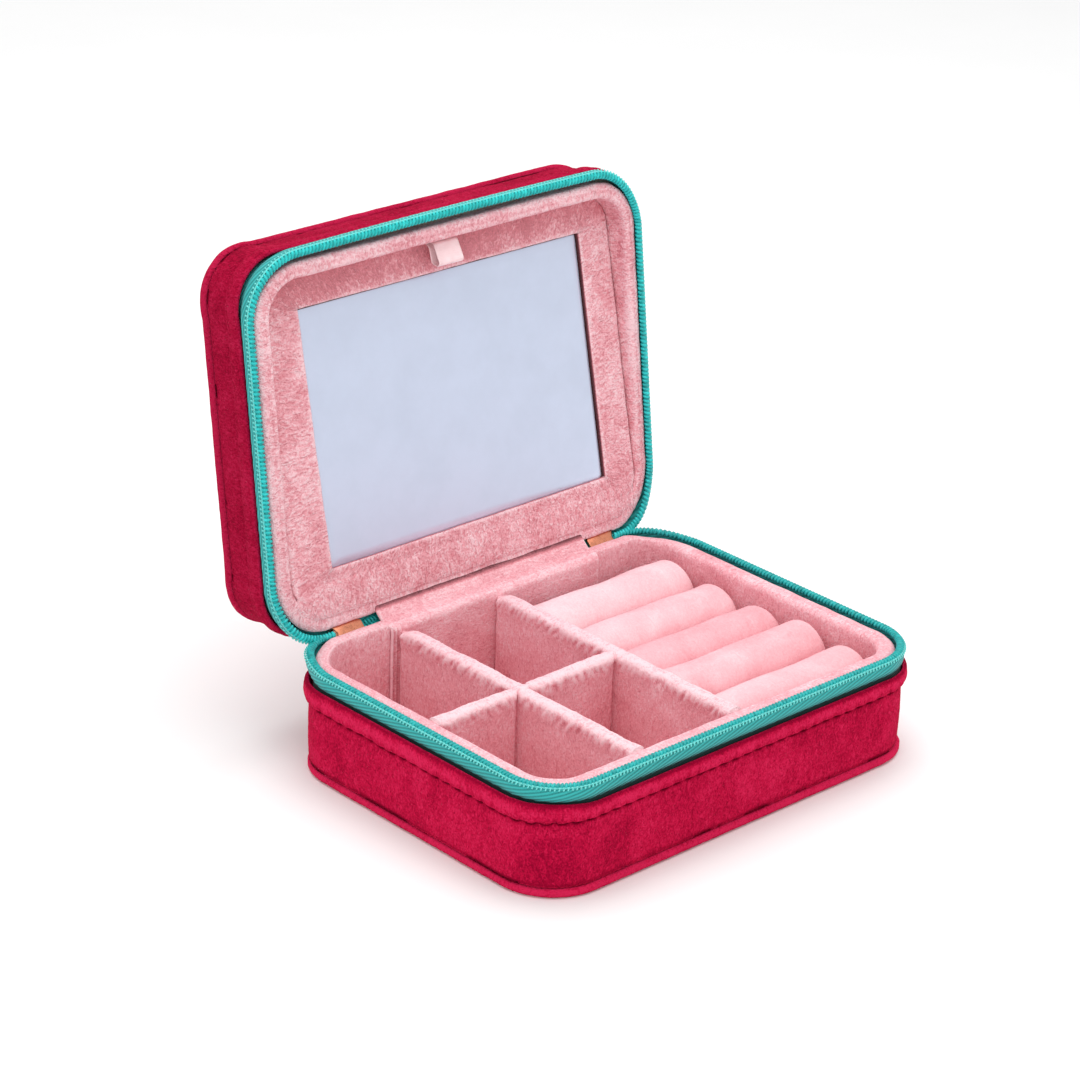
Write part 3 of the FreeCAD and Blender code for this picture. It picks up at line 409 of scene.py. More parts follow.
def rose_gold():
    """Plated zinc with fine brushing and small wear marks."""
    made = Finish("rose_gold")
    brushed = made.noise(made.stretched(made.place(), (1.0, 12.0, 12.0)), 1.2 * MM, detail=4.0)
    worn = made.noise(made.place(), 2.2 * MM, detail=4.0, roughness=0.7)
    made.shade(
        Base_Color=made.graded(worn, colours().rose_gold, [(0.3, 0.68), (0.5, 1.0), (0.75, 1.12)]),
        Metallic=1.0,
        Roughness=made.greys(brushed, 0.22, 0.42),
        Normal=made.bump(brushed, 0.12, 0.05 * MM),
    )
    return made.material


def fibre_sheet(name, tint, grain):
    """Pressed fibre or foam: flecked and matt."""
    made = Finish(name)
    flecks = made.noise(made.place(), grain, detail=4.0, roughness=0.7)
    made.shade(
        Base_Color=made.graded(flecks, tint, [(0.35, 0.7), (0.5, 1.0), (0.65, 1.25)]),
        Roughness=0.9,
        Normal=made.bump(flecks, 0.3, 0.2 * MM),
    )
    return made.material


FINISHES = {
    "teal_tape": teal_tape,
    "teal_coil": teal_coil,
    # A brighter copy of the coil for the lid: painted light
    "teal_coil_light": lambda: teal_coil("teal_coil_light", 1.36),
    "satin_ribbon": satin_ribbon,
    "mirror": mirror,
    "rose_gold": rose_gold,
    "greyboard": lambda: fibre_sheet("greyboard", colours().board, 1.2 * MM),
    "foam_tape": lambda: fibre_sheet("foam_tape", colours().foam, 0.6 * MM),
    "teal_thread": lambda: thread_finish("teal_thread", colours().teal_thread),
    "crimson_thread": lambda: thread_finish("crimson_thread", colours().crimson),
}

# Finishes made so far, by name
MADE_FINISHES = {}


def finish(name):
    """The finish of a name, made once."""
    if name not in MADE_FINISHES:
        MADE_FINISHES[name] = velvet(name) if name in VELVETS else FINISHES[name]()
    return MADE_FINISHES[name]


# Mesh helpers
def add_piece(name, points, faces, look, body=None, nodes=(), turn=AT_HOME, cloth_map=None, shade=None):
    """A mesh object in its place, with its finish, its body and the nodes that it stands for."""
    mesh = bpy.data.meshes.new(name)
    mesh.from_pydata(np.asarray(points).reshape(-1, 3).tolist(), [], [list(face) for face in faces])
    if cloth_map is not None:
        layer = mesh.uv_layers.new(name="lie_of_cloth")
        layer.data.foreach_set("uv", np.asarray(cloth_map, np.float32).ravel())
    if shade is not None:
        layer = mesh.attributes.new(SHADE, "FLOAT", "POINT")
        layer.data.foreach_set("value", np.asarray(shade, np.float32).ravel())
    mesh.transform(turn)
    mesh.shade_smooth()
    mesh.materials.append(finish(look))
    piece = bpy.data.objects.new(name, mesh)
    bpy.context.scene.collection.objects.link(piece)
    if nodes:
        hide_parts(*nodes)
    if body:
        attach(piece, body)
    return piece


def dress(node, look):
    """The finish of a solid that is shown as it is."""
    materials = frame["nodes"][node].data.materials
    materials.clear()
    materials.append(finish(look))


def crease_edges(piece, degrees=38):
    """Keep the edges of a hard piece crisp while its round faces stay smooth."""
    piece.data.set_sharp_from_angle(angle=math.radians(degrees))


def step_along(grid, way, closed):
    """How the points of a grid move from row to row, or from column to column."""
    if closed:
        return np.roll(grid, -1, axis=way) - np.roll(grid, 1, axis=way)
    return np.gradient(grid, axis=way)


def facing(grid, closed):
    """Unit directions square to a grid of points, outward where it closes round a body."""
    square = np.cross(step_along(grid, 0, closed[0]), step_along(grid, 1, closed[1]))
    side = np.sign(np.sum((grid - grid.mean((0, 1))) * square)) or 1.0
    length = np.linalg.norm(square, axis=2, keepdims=True)
    return side * square / np.maximum(length, 1e-15), side


def grid_corners(grid, closed):
    """Rows and columns of the four corners of each face of a grid, so that the faces look outward."""
    rows, columns = grid.shape[:2]
    a, b = np.meshgrid(np.arange(rows if closed[0] else rows - 1),
                       np.arange(columns if closed[1] else columns - 1), indexing="ij")
    corners = [(a, b), (a + 1, b), (a + 1, b + 1), (a, b + 1)]
    return corners if facing(grid, closed)[1] > 0 else corners[::-1]


def grid_faces(grid, corners):
    rows, columns = grid.shape[:2]
    faces = np.stack([(i % rows) * columns + j % columns for i, j in corners], -1)
    return faces.reshape(-1, 4).tolist()


def grid_piece(name, grid, closed, look, caps=False, **settings):
    """A piece from a grid of points, mapped in metres along its rows and columns."""
    corners = grid_corners(grid, closed)
    faces = grid_faces(grid, corners)
    gaps = np.linalg.norm(np.diff(grid, axis=0, append=grid[:1]), axis=2).mean(1)
    down = np.concatenate([[0.0], np.cumsum(gaps)])
    gaps = np.linalg.norm(np.diff(grid, axis=1, append=grid[:, :1]), axis=2).mean(0)
    across = np.concatenate([[0.0], np.cumsum(gaps)])
    cloth_map = np.stack([np.stack([down[i], across[j]], -1) for i, j in corners], 2).reshape(-1, 2)
    if caps:
        ends = cap_loops(grid, closed)
        faces += ends
        flat = grid.reshape(-1, 3)
        for end in ends:
            spots = flat[end] - flat[end].mean(0)
            u, v = np.argsort(-np.ptp(spots, axis=0))[:2]
            cloth_map = np.concatenate([cloth_map, spots[:, [u, v]]])
    return add_piece(name, grid, faces, look, cloth_map=cloth_map, **settings)


def cap_loops(grid, closed):
    """The two end faces of a grid that is open one way and closed the other."""
    rows, columns = grid.shape[:2]
    if closed[1]:
        first = list(range(columns))
        last = [(rows - 1) * columns + c for c in range(columns)]
    else:
        last = [r * columns for r in range(rows)]
        first = [r * columns + columns - 1 for r in range(rows)]
    return [first, last[::-1]] if facing(grid, closed)[1] > 0 else [first[::-1], last]


def blots(grid, grain, seed):
    """Smooth noise at each point of a grid, about one grain across."""
    shift = 17.31 * seed
    spots = (grid.reshape(-1, 3) / grain + shift).tolist()
    return np.array([noise.noise(spot) for spot in spots]).reshape(grid.shape[:-1])


def plush(grid, closed, seed, lump=0.10 * MM, lump_grain=6 * MM, tuft=0.05 * MM, tuft_grain=1.5 * MM):
    """Swell a velvet surface a little unevenly, as pile on padding lies."""
    square = facing(grid, closed)[0]
    amount = lump * blots(grid, lump_grain, seed) + tuft * blots(grid, tuft_grain, seed + 0.5)
    if not closed[1]:
        column = np.arange(grid.shape[1])
        amount = amount * smooth_step(0, FLAT_COLUMNS, np.minimum(column, column[::-1]))
    return grid + amount[..., None] * square


def smooth_step(low, high, where):
    share = np.clip((where - low) / (high - low), 0, 1)
    return share * share * (3 - 2 * share)


def hump(where, middle, width):
    return np.exp(-((where - middle) / width) ** 2)


def arch(where, start, end):
    """One half wave between a start and an end."""
    return np.sin(math.pi * np.clip((where - start) / (end - start), 0, 1))


def raised(flat, height):
    """Flat points (x, y) at their heights."""
    return np.concatenate([flat, np.broadcast_to(height, flat.shape[:-1])[..., None]], -1)


def push_out(grid, out, amount):
    """Move the points of a grid outward from the case."""
    grid[..., :2] += amount[..., None] * out[:, None, :]


def rounded_line(corners, step, closed=True):
    """A line through corners (across, height, round), with each corner rounded and walked at even steps."""
    spots = np.array([corner[:2] for corner in corners], float)
    rounds = [corner[2] if len(corner) > 2 else 0.0 for corner in corners]
    count = len(spots)
    line = []
    for number, (spot, radius) in enumerate(zip(spots, rounds)):
        if not closed and number in (0, count - 1):
            line.append(spot)
            continue
        before, after = spots[number - 1] - spot, spots[(number + 1) % count] - spot
        before, after = before / np.linalg.norm(before), after / np.linalg.norm(after)
        opening = math.acos(max(-1.0, min(1.0, float(before @ after))))
        if radius == 0.0 or opening > math.pi - 1e-6:
            line.append(spot)
            continue
        reach = radius / math.tan(opening / 2)
        bisector = (before + after) / np.linalg.norm(before + after)
        middle = spot + bisector * radius / math.sin(opening / 2)
        start, end = spot + before * reach - middle, spot + after * reach - middle
        turn = math.pi - opening
        pieces = max(2, math.ceil(radius * turn / step))
        for part in np.linspace(0, 1, pieces + 1):
            line.append(middle + (math.sin((1 - part) * turn) * start + math.sin(part * turn) * end)
                        / math.sin(turn))
    return even_walk(np.array(line), step, closed)


def rectangle(x0, z0, x1, z1, radius, step):
    """A rectangle with round corners, from its first corner round."""
    return rounded_line([(x, z, radius) for x, z in ((x0, z0), (x1, z0), (x1, z1), (x0, z1))], step)


def even_walk(line, step, closed):
    """The same line with points at even steps."""
    if closed:
        line = np.concatenate([line, line[:1]])
    run = np.concatenate([[0.0], np.cumsum(np.linalg.norm(np.diff(line, axis=0), axis=1))])
    count = max(4, round(run[-1] / step))
    stops = np.linspace(0, run[-1], count + 1)
    if closed:
        stops = stops[:-1]
    return np.stack([np.interp(stops, run, line[:, n]) for n in range(line.shape[1])], -1)


def paced_walk(line, pace):
    """A closed line with its points spaced by the local pace."""
    line = np.concatenate([line, line[:1]])
    steps = np.linalg.norm(np.diff(line, axis=0), axis=1) / pace((line[1:] + line[:-1]) / 2)
    run = np.concatenate([[0.0], np.cumsum(steps)])
    stops = np.linspace(0, run[-1], math.ceil(run[-1]) + 1)[:-1]
    return np.stack([np.interp(stops, run, line[:, n]) for n in (0, 1)], -1)


def beside_line(line, amount):
    """Points that stand off a flat line, square to it, by each of the amounts."""
    along = np.gradient(line, axis=0)
    along /= np.linalg.norm(along, axis=1, keepdims=True)
    square = np.stack([-along[:, 1], along[:, 0]], -1)
    return line[:, None] + square[:, None] * amount[..., None]


def extruded(run, across, height, along=0):
    """A section carried along X or Y. Its spots across and its heights may change from row to row."""
    grid = np.empty((*np.broadcast_shapes((len(run), 1), across.shape, height.shape), 3))
    grid[..., along] = run[:, None]
    grid[..., 1 - along] = across
    grid[..., 2] = height
    return grid


class Outline:
    """A rectangle with round corners, walked from the middle of the back towards the left."""
    STRETCHES = 9

    def __init__(self, low, high, radius):
        self.low, self.high, self.radius = np.array(low[:2]), np.array(high[:2]), radius

    def inset(self, amount):
        return Outline(self.low + amount, self.high - amount, max(self.radius - amount, 0.05 * MM))

    def lengths(self):
        wide, deep = self.high - self.low - 2 * self.radius
        arc = self.radius * math.pi / 2
        return np.array([wide / 2, arc, deep, arc, wide, arc, deep, arc, wide / 2])

    def stations(self, step):
        """Even stations round the outline, each a stretch's number and the share of it that is passed."""
        total = self.lengths().sum()
        return self.at_run(np.linspace(0.0, total, round(total / step), endpoint=False))

    def even_run(self, count):
        """Even lengths round the outline, one to a row."""
        return np.linspace(0, self.lengths().sum(), count, endpoint=False)[:, None]

    def at_run(self, run):
        marks = np.concatenate([[0.0], np.cumsum(self.lengths())])
        return np.interp(run, marks, np.arange(self.STRETCHES + 1))

    def walk(self, stations):
        """Points at the stations, and the outward direction at each."""
        (x0, y0), (x1, y1), r = self.low, self.high, self.radius
        middle = (x0 + x1) / 2
        ends = [(middle, y1), (x0 + r, y1), (x0, y1 - r), (x0, y0 + r), (x0 + r, y0), (x1 - r, y0),
                (x1, y0 + r), (x1, y1 - r), (x1 - r, y1), (middle, y1)]
        centres = {1: (x0 + r, y1 - r), 3: (x0 + r, y0 + r), 5: (x1 - r, y0 + r), 7: (x1 - r, y1 - r)}
        headings = np.radians([90, 90, 180, 180, 270, 270, 360, 360, 450, 450])
        stretch = np.minimum(stations.astype(int), self.STRETCHES - 1)
        share = stations - stretch
        heading = headings[stretch] + share * (headings[stretch + 1] - headings[stretch])
        out = np.stack([np.cos(heading), np.sin(heading)], -1)
        ends = np.array(ends)
        points = ends[stretch] + share[:, None] * (ends[stretch + 1] - ends[stretch])
        for number, centre in centres.items():
            here = stretch == number
            points[here] = np.array(centre) + r * out[here]
        return points, out


def case_outline():
    low, high = extent("base_cover")
    return Outline(low, high, sizes().corner_radius)


def outward_shares(out):
    """How far each outward direction looks to the left, to the right and to the front."""
    return np.maximum(-out[:, 0], 0), np.maximum(out[:, 0], 0), np.maximum(-out[:, 1], 0)


def along_back(grid, reach=57 * MM, fade=9 * MM):
    """1 along the back edge of the case between the ends of the zip, fading out towards the corners."""
    back = case_outline().high[1]
    behind = smooth_step(back - 13 * MM, back - 6 * MM, grid[..., 1])
    return behind * smooth_step(reach + fade, reach, np.abs(grid[..., 0]))


def zip_flare(points, out):
    """How far the lid's zip leans outward where nothing holds it: most along its front."""
    on_left, on_right, on_front, mid_front, at_corner = 1.7, -0.8, 1.4, 0.7, -1.2
    left, right, front = outward_shares(out)
    case = case_outline()
    bow = np.cos(math.pi * points[:, 0] / (case.high[0] - case.low[0]))
    return (on_left * left ** 2 + on_right * right ** 2 + (on_front + mid_front * bow) * front ** 2
            + at_corner * right * front) * MM


def flare_lift(flare):
    """How far a zip that leans outward draws back from the closing plane."""
    drawn_back = 0.25
    return drawn_back * np.maximum(flare, 0)


def corner_swell(out):
    """How far the lid's padded corners stand out: only those on the left do."""
    front_swell, back_swell = 2.0, 1.5
    corner = 2 * np.abs(out[:, 0] * out[:, 1]) * (out[:, 0] < 0)
    return np.where(out[:, 1] < 0, front_swell, back_swell) * corner * MM


def to_slider(grid):
    """How far the zip's edge moves out and towards the closing plane as it nears the sliders behind."""
    outward, inward, starts, ends = 3.0 * MM, 0.7 * MM, 50 * MM, 56 * MM
    back = case_outline().high[1]
    near = smooth_step(back - 16 * MM, back - 3 * MM, grid[..., 1])
    near = near * smooth_step(starts, ends, np.abs(grid[..., 0]))
    return near[..., None] * np.array([0, outward, inward])


def swept(outline, stations, section, edge, way):
    """A grid that carries a section (inset, drop from an edge) round an outline."""
    points, out = outline.walk(stations)
    flat = points[:, None, :] - section[None, :, :1] * out[:, None, :]
    return raised(flat, edge + way * section[:, 1])


def lofted(outer, inner, stations, section, width):
    """A grid between two outlines, whose section's first value runs from 0 to width across."""
    first, last = outer.walk(stations)[0], inner.walk(stations)[0]
    share = section[None, :, :1] / width
    return raised(first[:, None, :] * (1 - share) + last[:, None, :] * share, section[:, 1])


def tube(line, radius, sides, towards=(0.0, 0.0, 1.0)):
    """A grid round a line of points. towards is a direction off the line, or one at each point."""
    along = np.gradient(line, axis=0)
    along /= np.linalg.norm(along, axis=1, keepdims=True)
    first = towards - along * np.sum(towards * along, axis=1, keepdims=True)
    first /= np.linalg.norm(first, axis=1, keepdims=True)
    second = np.cross(along, first)
    angle = np.arange(sides) / sides * FULL_TURN
    ring = np.cos(angle)[None, :, None] * first[:, None] + np.sin(angle)[None, :, None] * second[:, None]
    return line[:, None] + np.reshape(radius, (-1, 1, 1)) * ring


def tube_faces(rings, sides):
    """The faces of a tube with closed ends."""
    faces = []
    for start in range(0, (rings - 1) * sides, sides):
        for c in range(sides):
            beside = (c + 1) % sides
            faces.append([start + c, start + beside, start + sides + beside, start + sides + c])
    return faces + [list(range(sides))[::-1], [(rings - 1) * sides + c for c in range(sides)]]


def joined(parts):
    """Several (points, faces) as one."""
    points, faces, start = [], [], 0
    for spots, sides in parts:
        points.append(np.asarray(spots).reshape(-1, 3))
        faces += [[start + corner for corner in side] for side in sides]
        start += len(points[-1])
    return np.concatenate(points), faces


def stitches(starts, ends, outs, radius, bow):
    """Short bowed threads, thick in the middle and sunk at both ends."""
    rings, sides, thin = 7, 6, 0.35
    share = np.linspace(0, 1, rings)
    rise = np.sin(share * math.pi)
    faces = tube_faces(rings, sides)
    parts = []
    for start, end, out in zip(starts, ends, outs):
        line = start + share[:, None] * (end - start) + (rise * bow)[:, None] * out
        parts.append((tube(line, radius * (thin + (1 - thin) * rise), sides, out), faces))
    return joined(parts)


def cloth_panel(outline, foot, top, roll, step, crown=0.0):
    """A padded plate with a rolled edge, whose upper face may swell towards the middle."""
    flat_middle, least_reach, slope = 2.0 * MM, 3.0 * MM, 14 * MM
    reach = max(outline.radius - flat_middle, least_reach)
    section = rounded_line([(reach, foot), (0, foot, roll), (0, top, roll), (reach, top)], step, closed=False)
    stations = outline.stations(step)
    columns = []
    for inset, height in section:
        upper = height > (foot + top) / 2
        height += smooth_step(0, slope, inset) * crown * upper
        columns.append(raised(outline.inset(inset).walk(stations)[0], height))
    return np.stack(columns, 1)


# Pieces
class JEWELRYBOX_OT_boards(Operator):
    """Stiffening boards inside the walls"""
    bl_idname = "jewelrybox.boards"
    bl_label = "Boards"

    def execute(self, context):
        for node in ("base_tray", "lid_tray"):
            dress(node, "greyboard")
        return {"FINISHED"}


class JEWELRYBOX_OT_panels(Operator):
    """Velvet-covered plates under the base and on top of the lid"""
    bl_idname = "jewelrybox.panels"
    bl_label = "Outer panels"

    def execute(self, context):
        self.panel("base_bottom_panel", "base", AT_HOME, crown=0.0, seed=1)
        self.panel("lid_top_panel", "lid", ON_LID, crown=0.7 * MM, seed=2)
        return {"FINISHED"}

    def panel(self, node, body, turn, crown, seed):
        step, roll = 1.2 * MM, 1.35 * MM
        low, high = extent(node, turn)
        outline = Outline(low, high, sizes().corner_radius)
        soft = plush(cloth_panel(outline, low[2], high[2], roll, step, crown), PLATE, seed, lump=0.12 * MM)
        if body == "base":
            soft[..., 2] = np.maximum(soft[..., 2], low[2])
        else:
            out = outline.walk(outline.stations(step))[1]
            push_out(soft, out, corner_swell(out)[:, None] * self.nearness(outline, soft))
        grid_piece(node + "_velvet", soft, PLATE, OUTER_VELVET[body], caps=True, body=body, nodes=[node],
                   turn=turn)

    def nearness(self, outline, grid):
        """1 at the edge of a panel, falling to 0 inside it."""
        middle = (outline.low + outline.high) / 2
        reach = np.abs(grid[..., :2] - middle) / ((outline.high - outline.low) / 2)
        return smooth_step(0.75, 0.95, reach.max(-1))


class JEWELRYBOX_OT_covers(Operator):
    """Velvet walls of the base and the lid, with a stitched hem beside the zip"""
    bl_idname = "jewelrybox.covers"
    bl_label = "Velvet covers"

    def execute(self, context):
        for (body, turn, way), seed in zip(HALVES, (3, 4)):
            self.cover(f"{body}_cover", body, turn, way, seed)
        return {"FINISHED"}

    def section(self, tall, brim):
        """Insets and drops from the hem's edge, closely spaced where the hem is seen."""
        s = sizes()
        thick, lip = 1.35 * MM, 0.85 * MM
        fine, plain, hidden = 0.28 * MM, 0.9 * MM, 2.5 * MM
        hem_end = s.hem_drop + 3 * MM
        line = rounded_line([(0, tall, 1.0 * MM), (0, brim, s.hem_roll), (lip, brim, 0.1 * MM),
                             (lip, 3.0 * MM, 0.4 * MM), (thick, 4.0 * MM, 0.4 * MM), (thick, tall, 0.2 * MM)],
                            0.1 * MM)
        return paced_walk(line, lambda at: np.where(at[:, 0] > 0.9 * lip, hidden,
                                                    np.where(at[:, 1] < hem_end, fine, plain)))

    def cover(self, node, body, turn, way, seed):
        """way is 1 where the hem is the lower edge, and -1 where it is the upper one."""
        s = sizes()
        hem, tall = rim_piece(node, turn, way)
        brim = HEM_BRIM[body]
        section = self.section(tall, brim)
        drop = section[None, :, 1]
        outside = smooth_step(0.7 * MM, 0.3 * MM, section[:, 0])[None, :]
        outline = case_outline()
        stations = outline.stations(s.cloth_step * 0.75)
        grid = swept(outline, stations, section, hem, way)
        out = outline.walk(stations)[1]
        left, right, front = (share[:, None] ** 2 for share in outward_shares(out))

        total = outline.lengths().sum()
        run = outline.even_run(len(stations))
        scallop = np.abs(np.sin(math.pi * round(total / s.hem_stitch) * run / total))
        waver = blots(np.concatenate([run, 0 * run, 0 * run], -1)[None], 9 * MM, seed)[0][:, None]
        rises, sits, wavers, left_drop = 0.5, -0.4, 0.3, 0.5
        edge = s.hem_drop + (rises * scallop + sits + wavers * waver + left_drop * left) * MM
        band = s.hem_fold * smooth_step(edge + 0.2 * MM, edge - 0.25 * MM, drop)
        puff, slack, stitch_width = 0.34 * MM, 0.35 * MM, 0.42 * MM
        crown = puff * arch(drop, brim, edge) * (0.75 + 0.45 * scallop)
        pocket = smooth_step(0.45, 0.85, scallop)
        tuck = (0.15 + 1.25 * pocket) * MM * hump(drop, edge + 0.25 * MM, stitch_width)
        belly = slack * arch(drop, edge, tall)
        set_back = 0.75 * s.hem_fold
        amount = outside * (band + crown + belly - tuck - set_back)
        # Painted shade in the stitch pockets, under the hem's edge and at the foot, and painted light on the
        # hem's crest (on_hem)
        in_pockets, under_hem, on_hem, at_foot = 0.95, 0.22, -0.10, 0.25
        shade = outside * (in_pockets * pocket * hump(drop, edge + 0.3 * MM, stitch_width)
                           + under_hem * hump(drop, edge + 0.5 * MM, 0.8 * MM)
                           + on_hem * hump(drop, 0.55 * edge, 1.1 * MM)
                           + at_foot * hump(drop, tall, 0.9 * MM))
        if body == "lid":
            quieter = 0.3
            shade = quieter * shade
            amount = amount + corner_swell(out)[:, None]
        else:
            left_bulge, right_hollow = 0.45, -1.1
            amount = amount + (left_bulge * left + right_hollow * right) * MM
            near_corner = np.clip((-out[:, 0] - out[:, 1] - 1.05) / 0.35, 0, 1)[:, None]
            # On the base: darker at the front-left corner, and painted shade along the hem's brim beside the
            # tape
            corner_shade, brim_shade = 0.06, 0.3
            shade = shade + outside * (corner_shade * near_corner + brim_shade * hump(drop, brim, 0.6 * MM))
            corner_lift, left_lift, front_lift = 0.95, 0.9, 0.25
            lift = np.maximum(corner_lift * near_corner, left_lift * left + front_lift * front)
            grid[..., 2] += lift * MM * smooth_step(3.6 * MM, brim, drop)
        push_out(grid, out, amount)
        grid = plush(grid, RING, seed, lump=0.12 * MM, lump_grain=11 * MM, tuft=0.06 * MM)
        grid_piece(node + "_velvet", grid, RING, OUTER_VELVET[body], body=body, nodes=[node], turn=turn,
                   shade=shade)
        self.hem_thread(node + "_stitching", outline, hem + way * (s.hem_drop - 0.1 * MM), body, turn)

    def hem_thread(self, name, outline, height, body, turn):
        stitch, total = sizes().hem_stitch, outline.lengths().sum()
        half_length, inset, slant = 0.2 * stitch, 0.85 * MM, 0.12 * MM
        count = round(total / stitch)
        middles = np.arange(count) * total / count
        ends = []
        for way in (-1, 1):
            points, out = outline.walk(outline.at_run((middles + way * half_length) % total))
            ends.append(raised(points - inset * out, height + way * slant))
        points, faces = stitches(*ends, raised(out, 0.0), radius=0.21 * MM, bow=0.22 * MM)
        add_piece(name, points, faces, "crimson_thread", body=body, turn=turn)


class JEWELRYBOX_OT_zip_tapes(Operator):
    """Woven tapes that the zip's coils are sewn to"""
    bl_idname = "jewelrybox.zip_tapes"
    bl_label = "Zip tapes"

    def execute(self, context):
        for body, turn, way in HALVES:
            self.tape(f"{body}_zip_tape", body, turn, way)
        return {"FINISHED"}

    def tape(self, node, body, turn, way):
        edge, tall = rim_piece(node, turn, way)
        front, tucked, back = 1.25 * MM, 1.75 * MM, 2.05 * MM
        top, hem, in_sight = -1.4 * MM, 2.75 * MM, 4.4 * MM
        fine, hidden = 0.18 * MM, 1.2 * MM
        line = rounded_line([(front, top), (1.15 * MM, 0.9 * MM, 2.0 * MM), (front, 2.2 * MM, 0.4 * MM),
                             (tucked, hem, 0.3 * MM), (tucked, tall), (back, tall),
                             (back, 1.5 * MM, 1.0 * MM), (1.65 * MM, top)], 0.08 * MM)

        def pace(at):
            """Closely spaced where the tape is seen."""
            seen = (at[:, 1] < in_sight) & (at[:, 0] < tucked + 0.05 * MM)
            return np.where(seen, fine, hidden)

        section = paced_walk(line, pace)
        drop = section[:, 1]
        outline = case_outline()
        stations = outline.stations(0.6 * MM)
        points, out = outline.walk(stations)
        grid = swept(outline, stations, section, edge, way)
        rib_height = 0.035 * MM
        ribs = np.cos(FULL_TURN * (drop + TAPE_CLIMB * outline.even_run(len(stations))) / sizes().tape_rib)
        grid = grid + (rib_height * ribs)[..., None] * facing(grid, RING)[0]
        shade = self.sunk(section, out, body) * (section[:, 0] < tucked + 0.1 * MM)

        everywhere, at_corner = 0.15, 0.85
        bulge = np.full(len(out), everywhere)
        if body == "base":
            bulge += at_corner * np.clip((-out[:, 0] - out[:, 1] - 0.6) / 0.8, 0, 1)
        swell = arch(drop, top, hem) * (section[:, 0] < 1.5 * MM)
        push_out(grid, out, bulge[:, None] * swell * MM)
        grid += to_slider(grid) * smooth_step(3.0 * MM, 0, drop)[:, None] * np.array([1, 1, -way])
        if body == "lid":
            lean_out = zip_flare(points, out)[:, None] * smooth_step(3.2 * MM, 0.4 * MM, drop)
            push_out(grid, out, lean_out)
            grid[..., 2] += flare_lift(lean_out)
            follows = 0.85
            push_out(grid, out, follows * corner_swell(out)[:, None] * smooth_step(0, 3.0 * MM, drop))
        grid[..., 2] += way * self.back_cut(grid, edge, way)
        grid_piece(node + "_woven", grid, RING, "teal_tape", body=body, nodes=[node], turn=turn, shade=shade)

    def sunk(self, section, out, body):
        """Painted shade on a tape: a gentle darkening towards the hem, then a dark line of painted shadow
        beside it.
        """
        gentle, start, line_start, line_end, on_lid = 0.28, 0.8 * MM, 2.6 * MM, 3.15 * MM, 0.5
        swollen = corner_swell(out) if body == "lid" else np.zeros(len(out))
        depth = section[None, :, 1] - swollen[:, None]
        fall = (gentle * smooth_step(start, line_start, depth)
                + (1 - gentle) * smooth_step(line_start, line_end, depth))
        return fall if body == "base" else on_lid * fall

    def back_cut(self, grid, edge, way):
        """How far the tape's edge is let down along the back, where the spine crosses."""
        depth, tape_height = 3.0 * MM, 3.4 * MM
        reach = extent("left_slider_body", ON_TAIL)[0][0]
        behind = smooth_step(0, 4 * MM, grid[..., 1] - (grid[..., 1].max() - 6 * MM))
        inside = smooth_step(-reach + 6 * MM, -reach - 2 * MM, np.abs(grid[..., 0]))
        return depth * behind * inside * smooth_step(tape_height, 0, way * (grid[..., 2] - edge))


class JEWELRYBOX_OT_zip_coils(Operator):
    """Nylon coils with their core cords and the stitching that holds them"""
    bl_idname = "jewelrybox.zip_coils"
    bl_label = "Zip coils"

    def execute(self, context):
        for body, turn, way in HALVES:
            self.coil(f"{body}_zip_coil", body, turn, way)
        return {"FINISHED"}

    def along_zip(self, run, inset, level, body, way):
        """Points along the zip at an inset and a level, and the outward direction at each."""
        outline = case_outline()
        points, out = outline.walk(outline.at_run(run))
        flare = zip_flare(points, out) if body == "lid" else np.zeros(len(points))
        spots = raised(points + (flare - inset)[:, None] * out, level + flare_lift(flare))
        return spots + to_slider(spots) * np.array([1, 1, -way]), raised(out, 0.0)

    def coil(self, node, body, turn, way):
        s = sizes()
        low, high = extent(node, turn)
        inset, core_radius, cord_radius, cord_offset = 2.25 * MM, 0.70 * MM, 0.26 * MM, 1.0 * MM
        level = (low[2] + high[2]) / 2 - way * 0.32 * MM
        start = 54.8 * MM
        length = case_outline().lengths().sum() - 2 * start
        turns, steps = round(length / s.coil_pitch), 14
        share = np.linspace(0, 1, turns * steps + 1)
        axis, out = self.along_zip(start + share * length, inset, level, body, way)
        half_width, half_height = 0.85 * MM, 0.54 * MM
        angle = (share * turns * FULL_TURN)[:, None]
        round_axis = np.cos(angle) * out * half_width + np.sin(angle) * np.array([0, 0, half_height])
        wire = tube(axis + round_axis, s.coil_wire, 6, round_axis)
        grid_piece(node + "_wire", wire, BAND, COIL_NYLON[body], caps=True, body=body, nodes=[node],
                   turn=turn)
        every = slice(None, None, 8)
        core = tube(axis[every], core_radius, 8)
        grid_piece(node + "_core", core, BAND, "teal_coil", caps=True, body=body, turn=turn)
        cord = tube(axis[every] + out[every] * cord_offset, cord_radius, 8)
        grid_piece(node + "_cord", cord, BAND, "teal_thread", caps=True, body=body, turn=turn)
        middles = start + (np.arange(turns) + 0.5) * s.coil_pitch
        self.sewing(node + "_stitching", middles, level + way * 0.37 * MM, body, turn, way)

    def sewing(self, name, middles, level, body, turn, zip_way):
        half_length, inset, slant = 0.12 * sizes().coil_pitch, 1.0 * MM, 0.36 * MM
        ends = []
        for way in (-1, 1):
            run, height = middles + way * half_length, level + way * slant
            spots, out = self.along_zip(run, inset, height, body, zip_way)
            ends.append(spots)
        points, faces = stitches(*ends, out, radius=0.27 * MM, bow=0.18 * MM)
        add_piece(name, points, faces, "teal_thread", body=body, turn=turn)


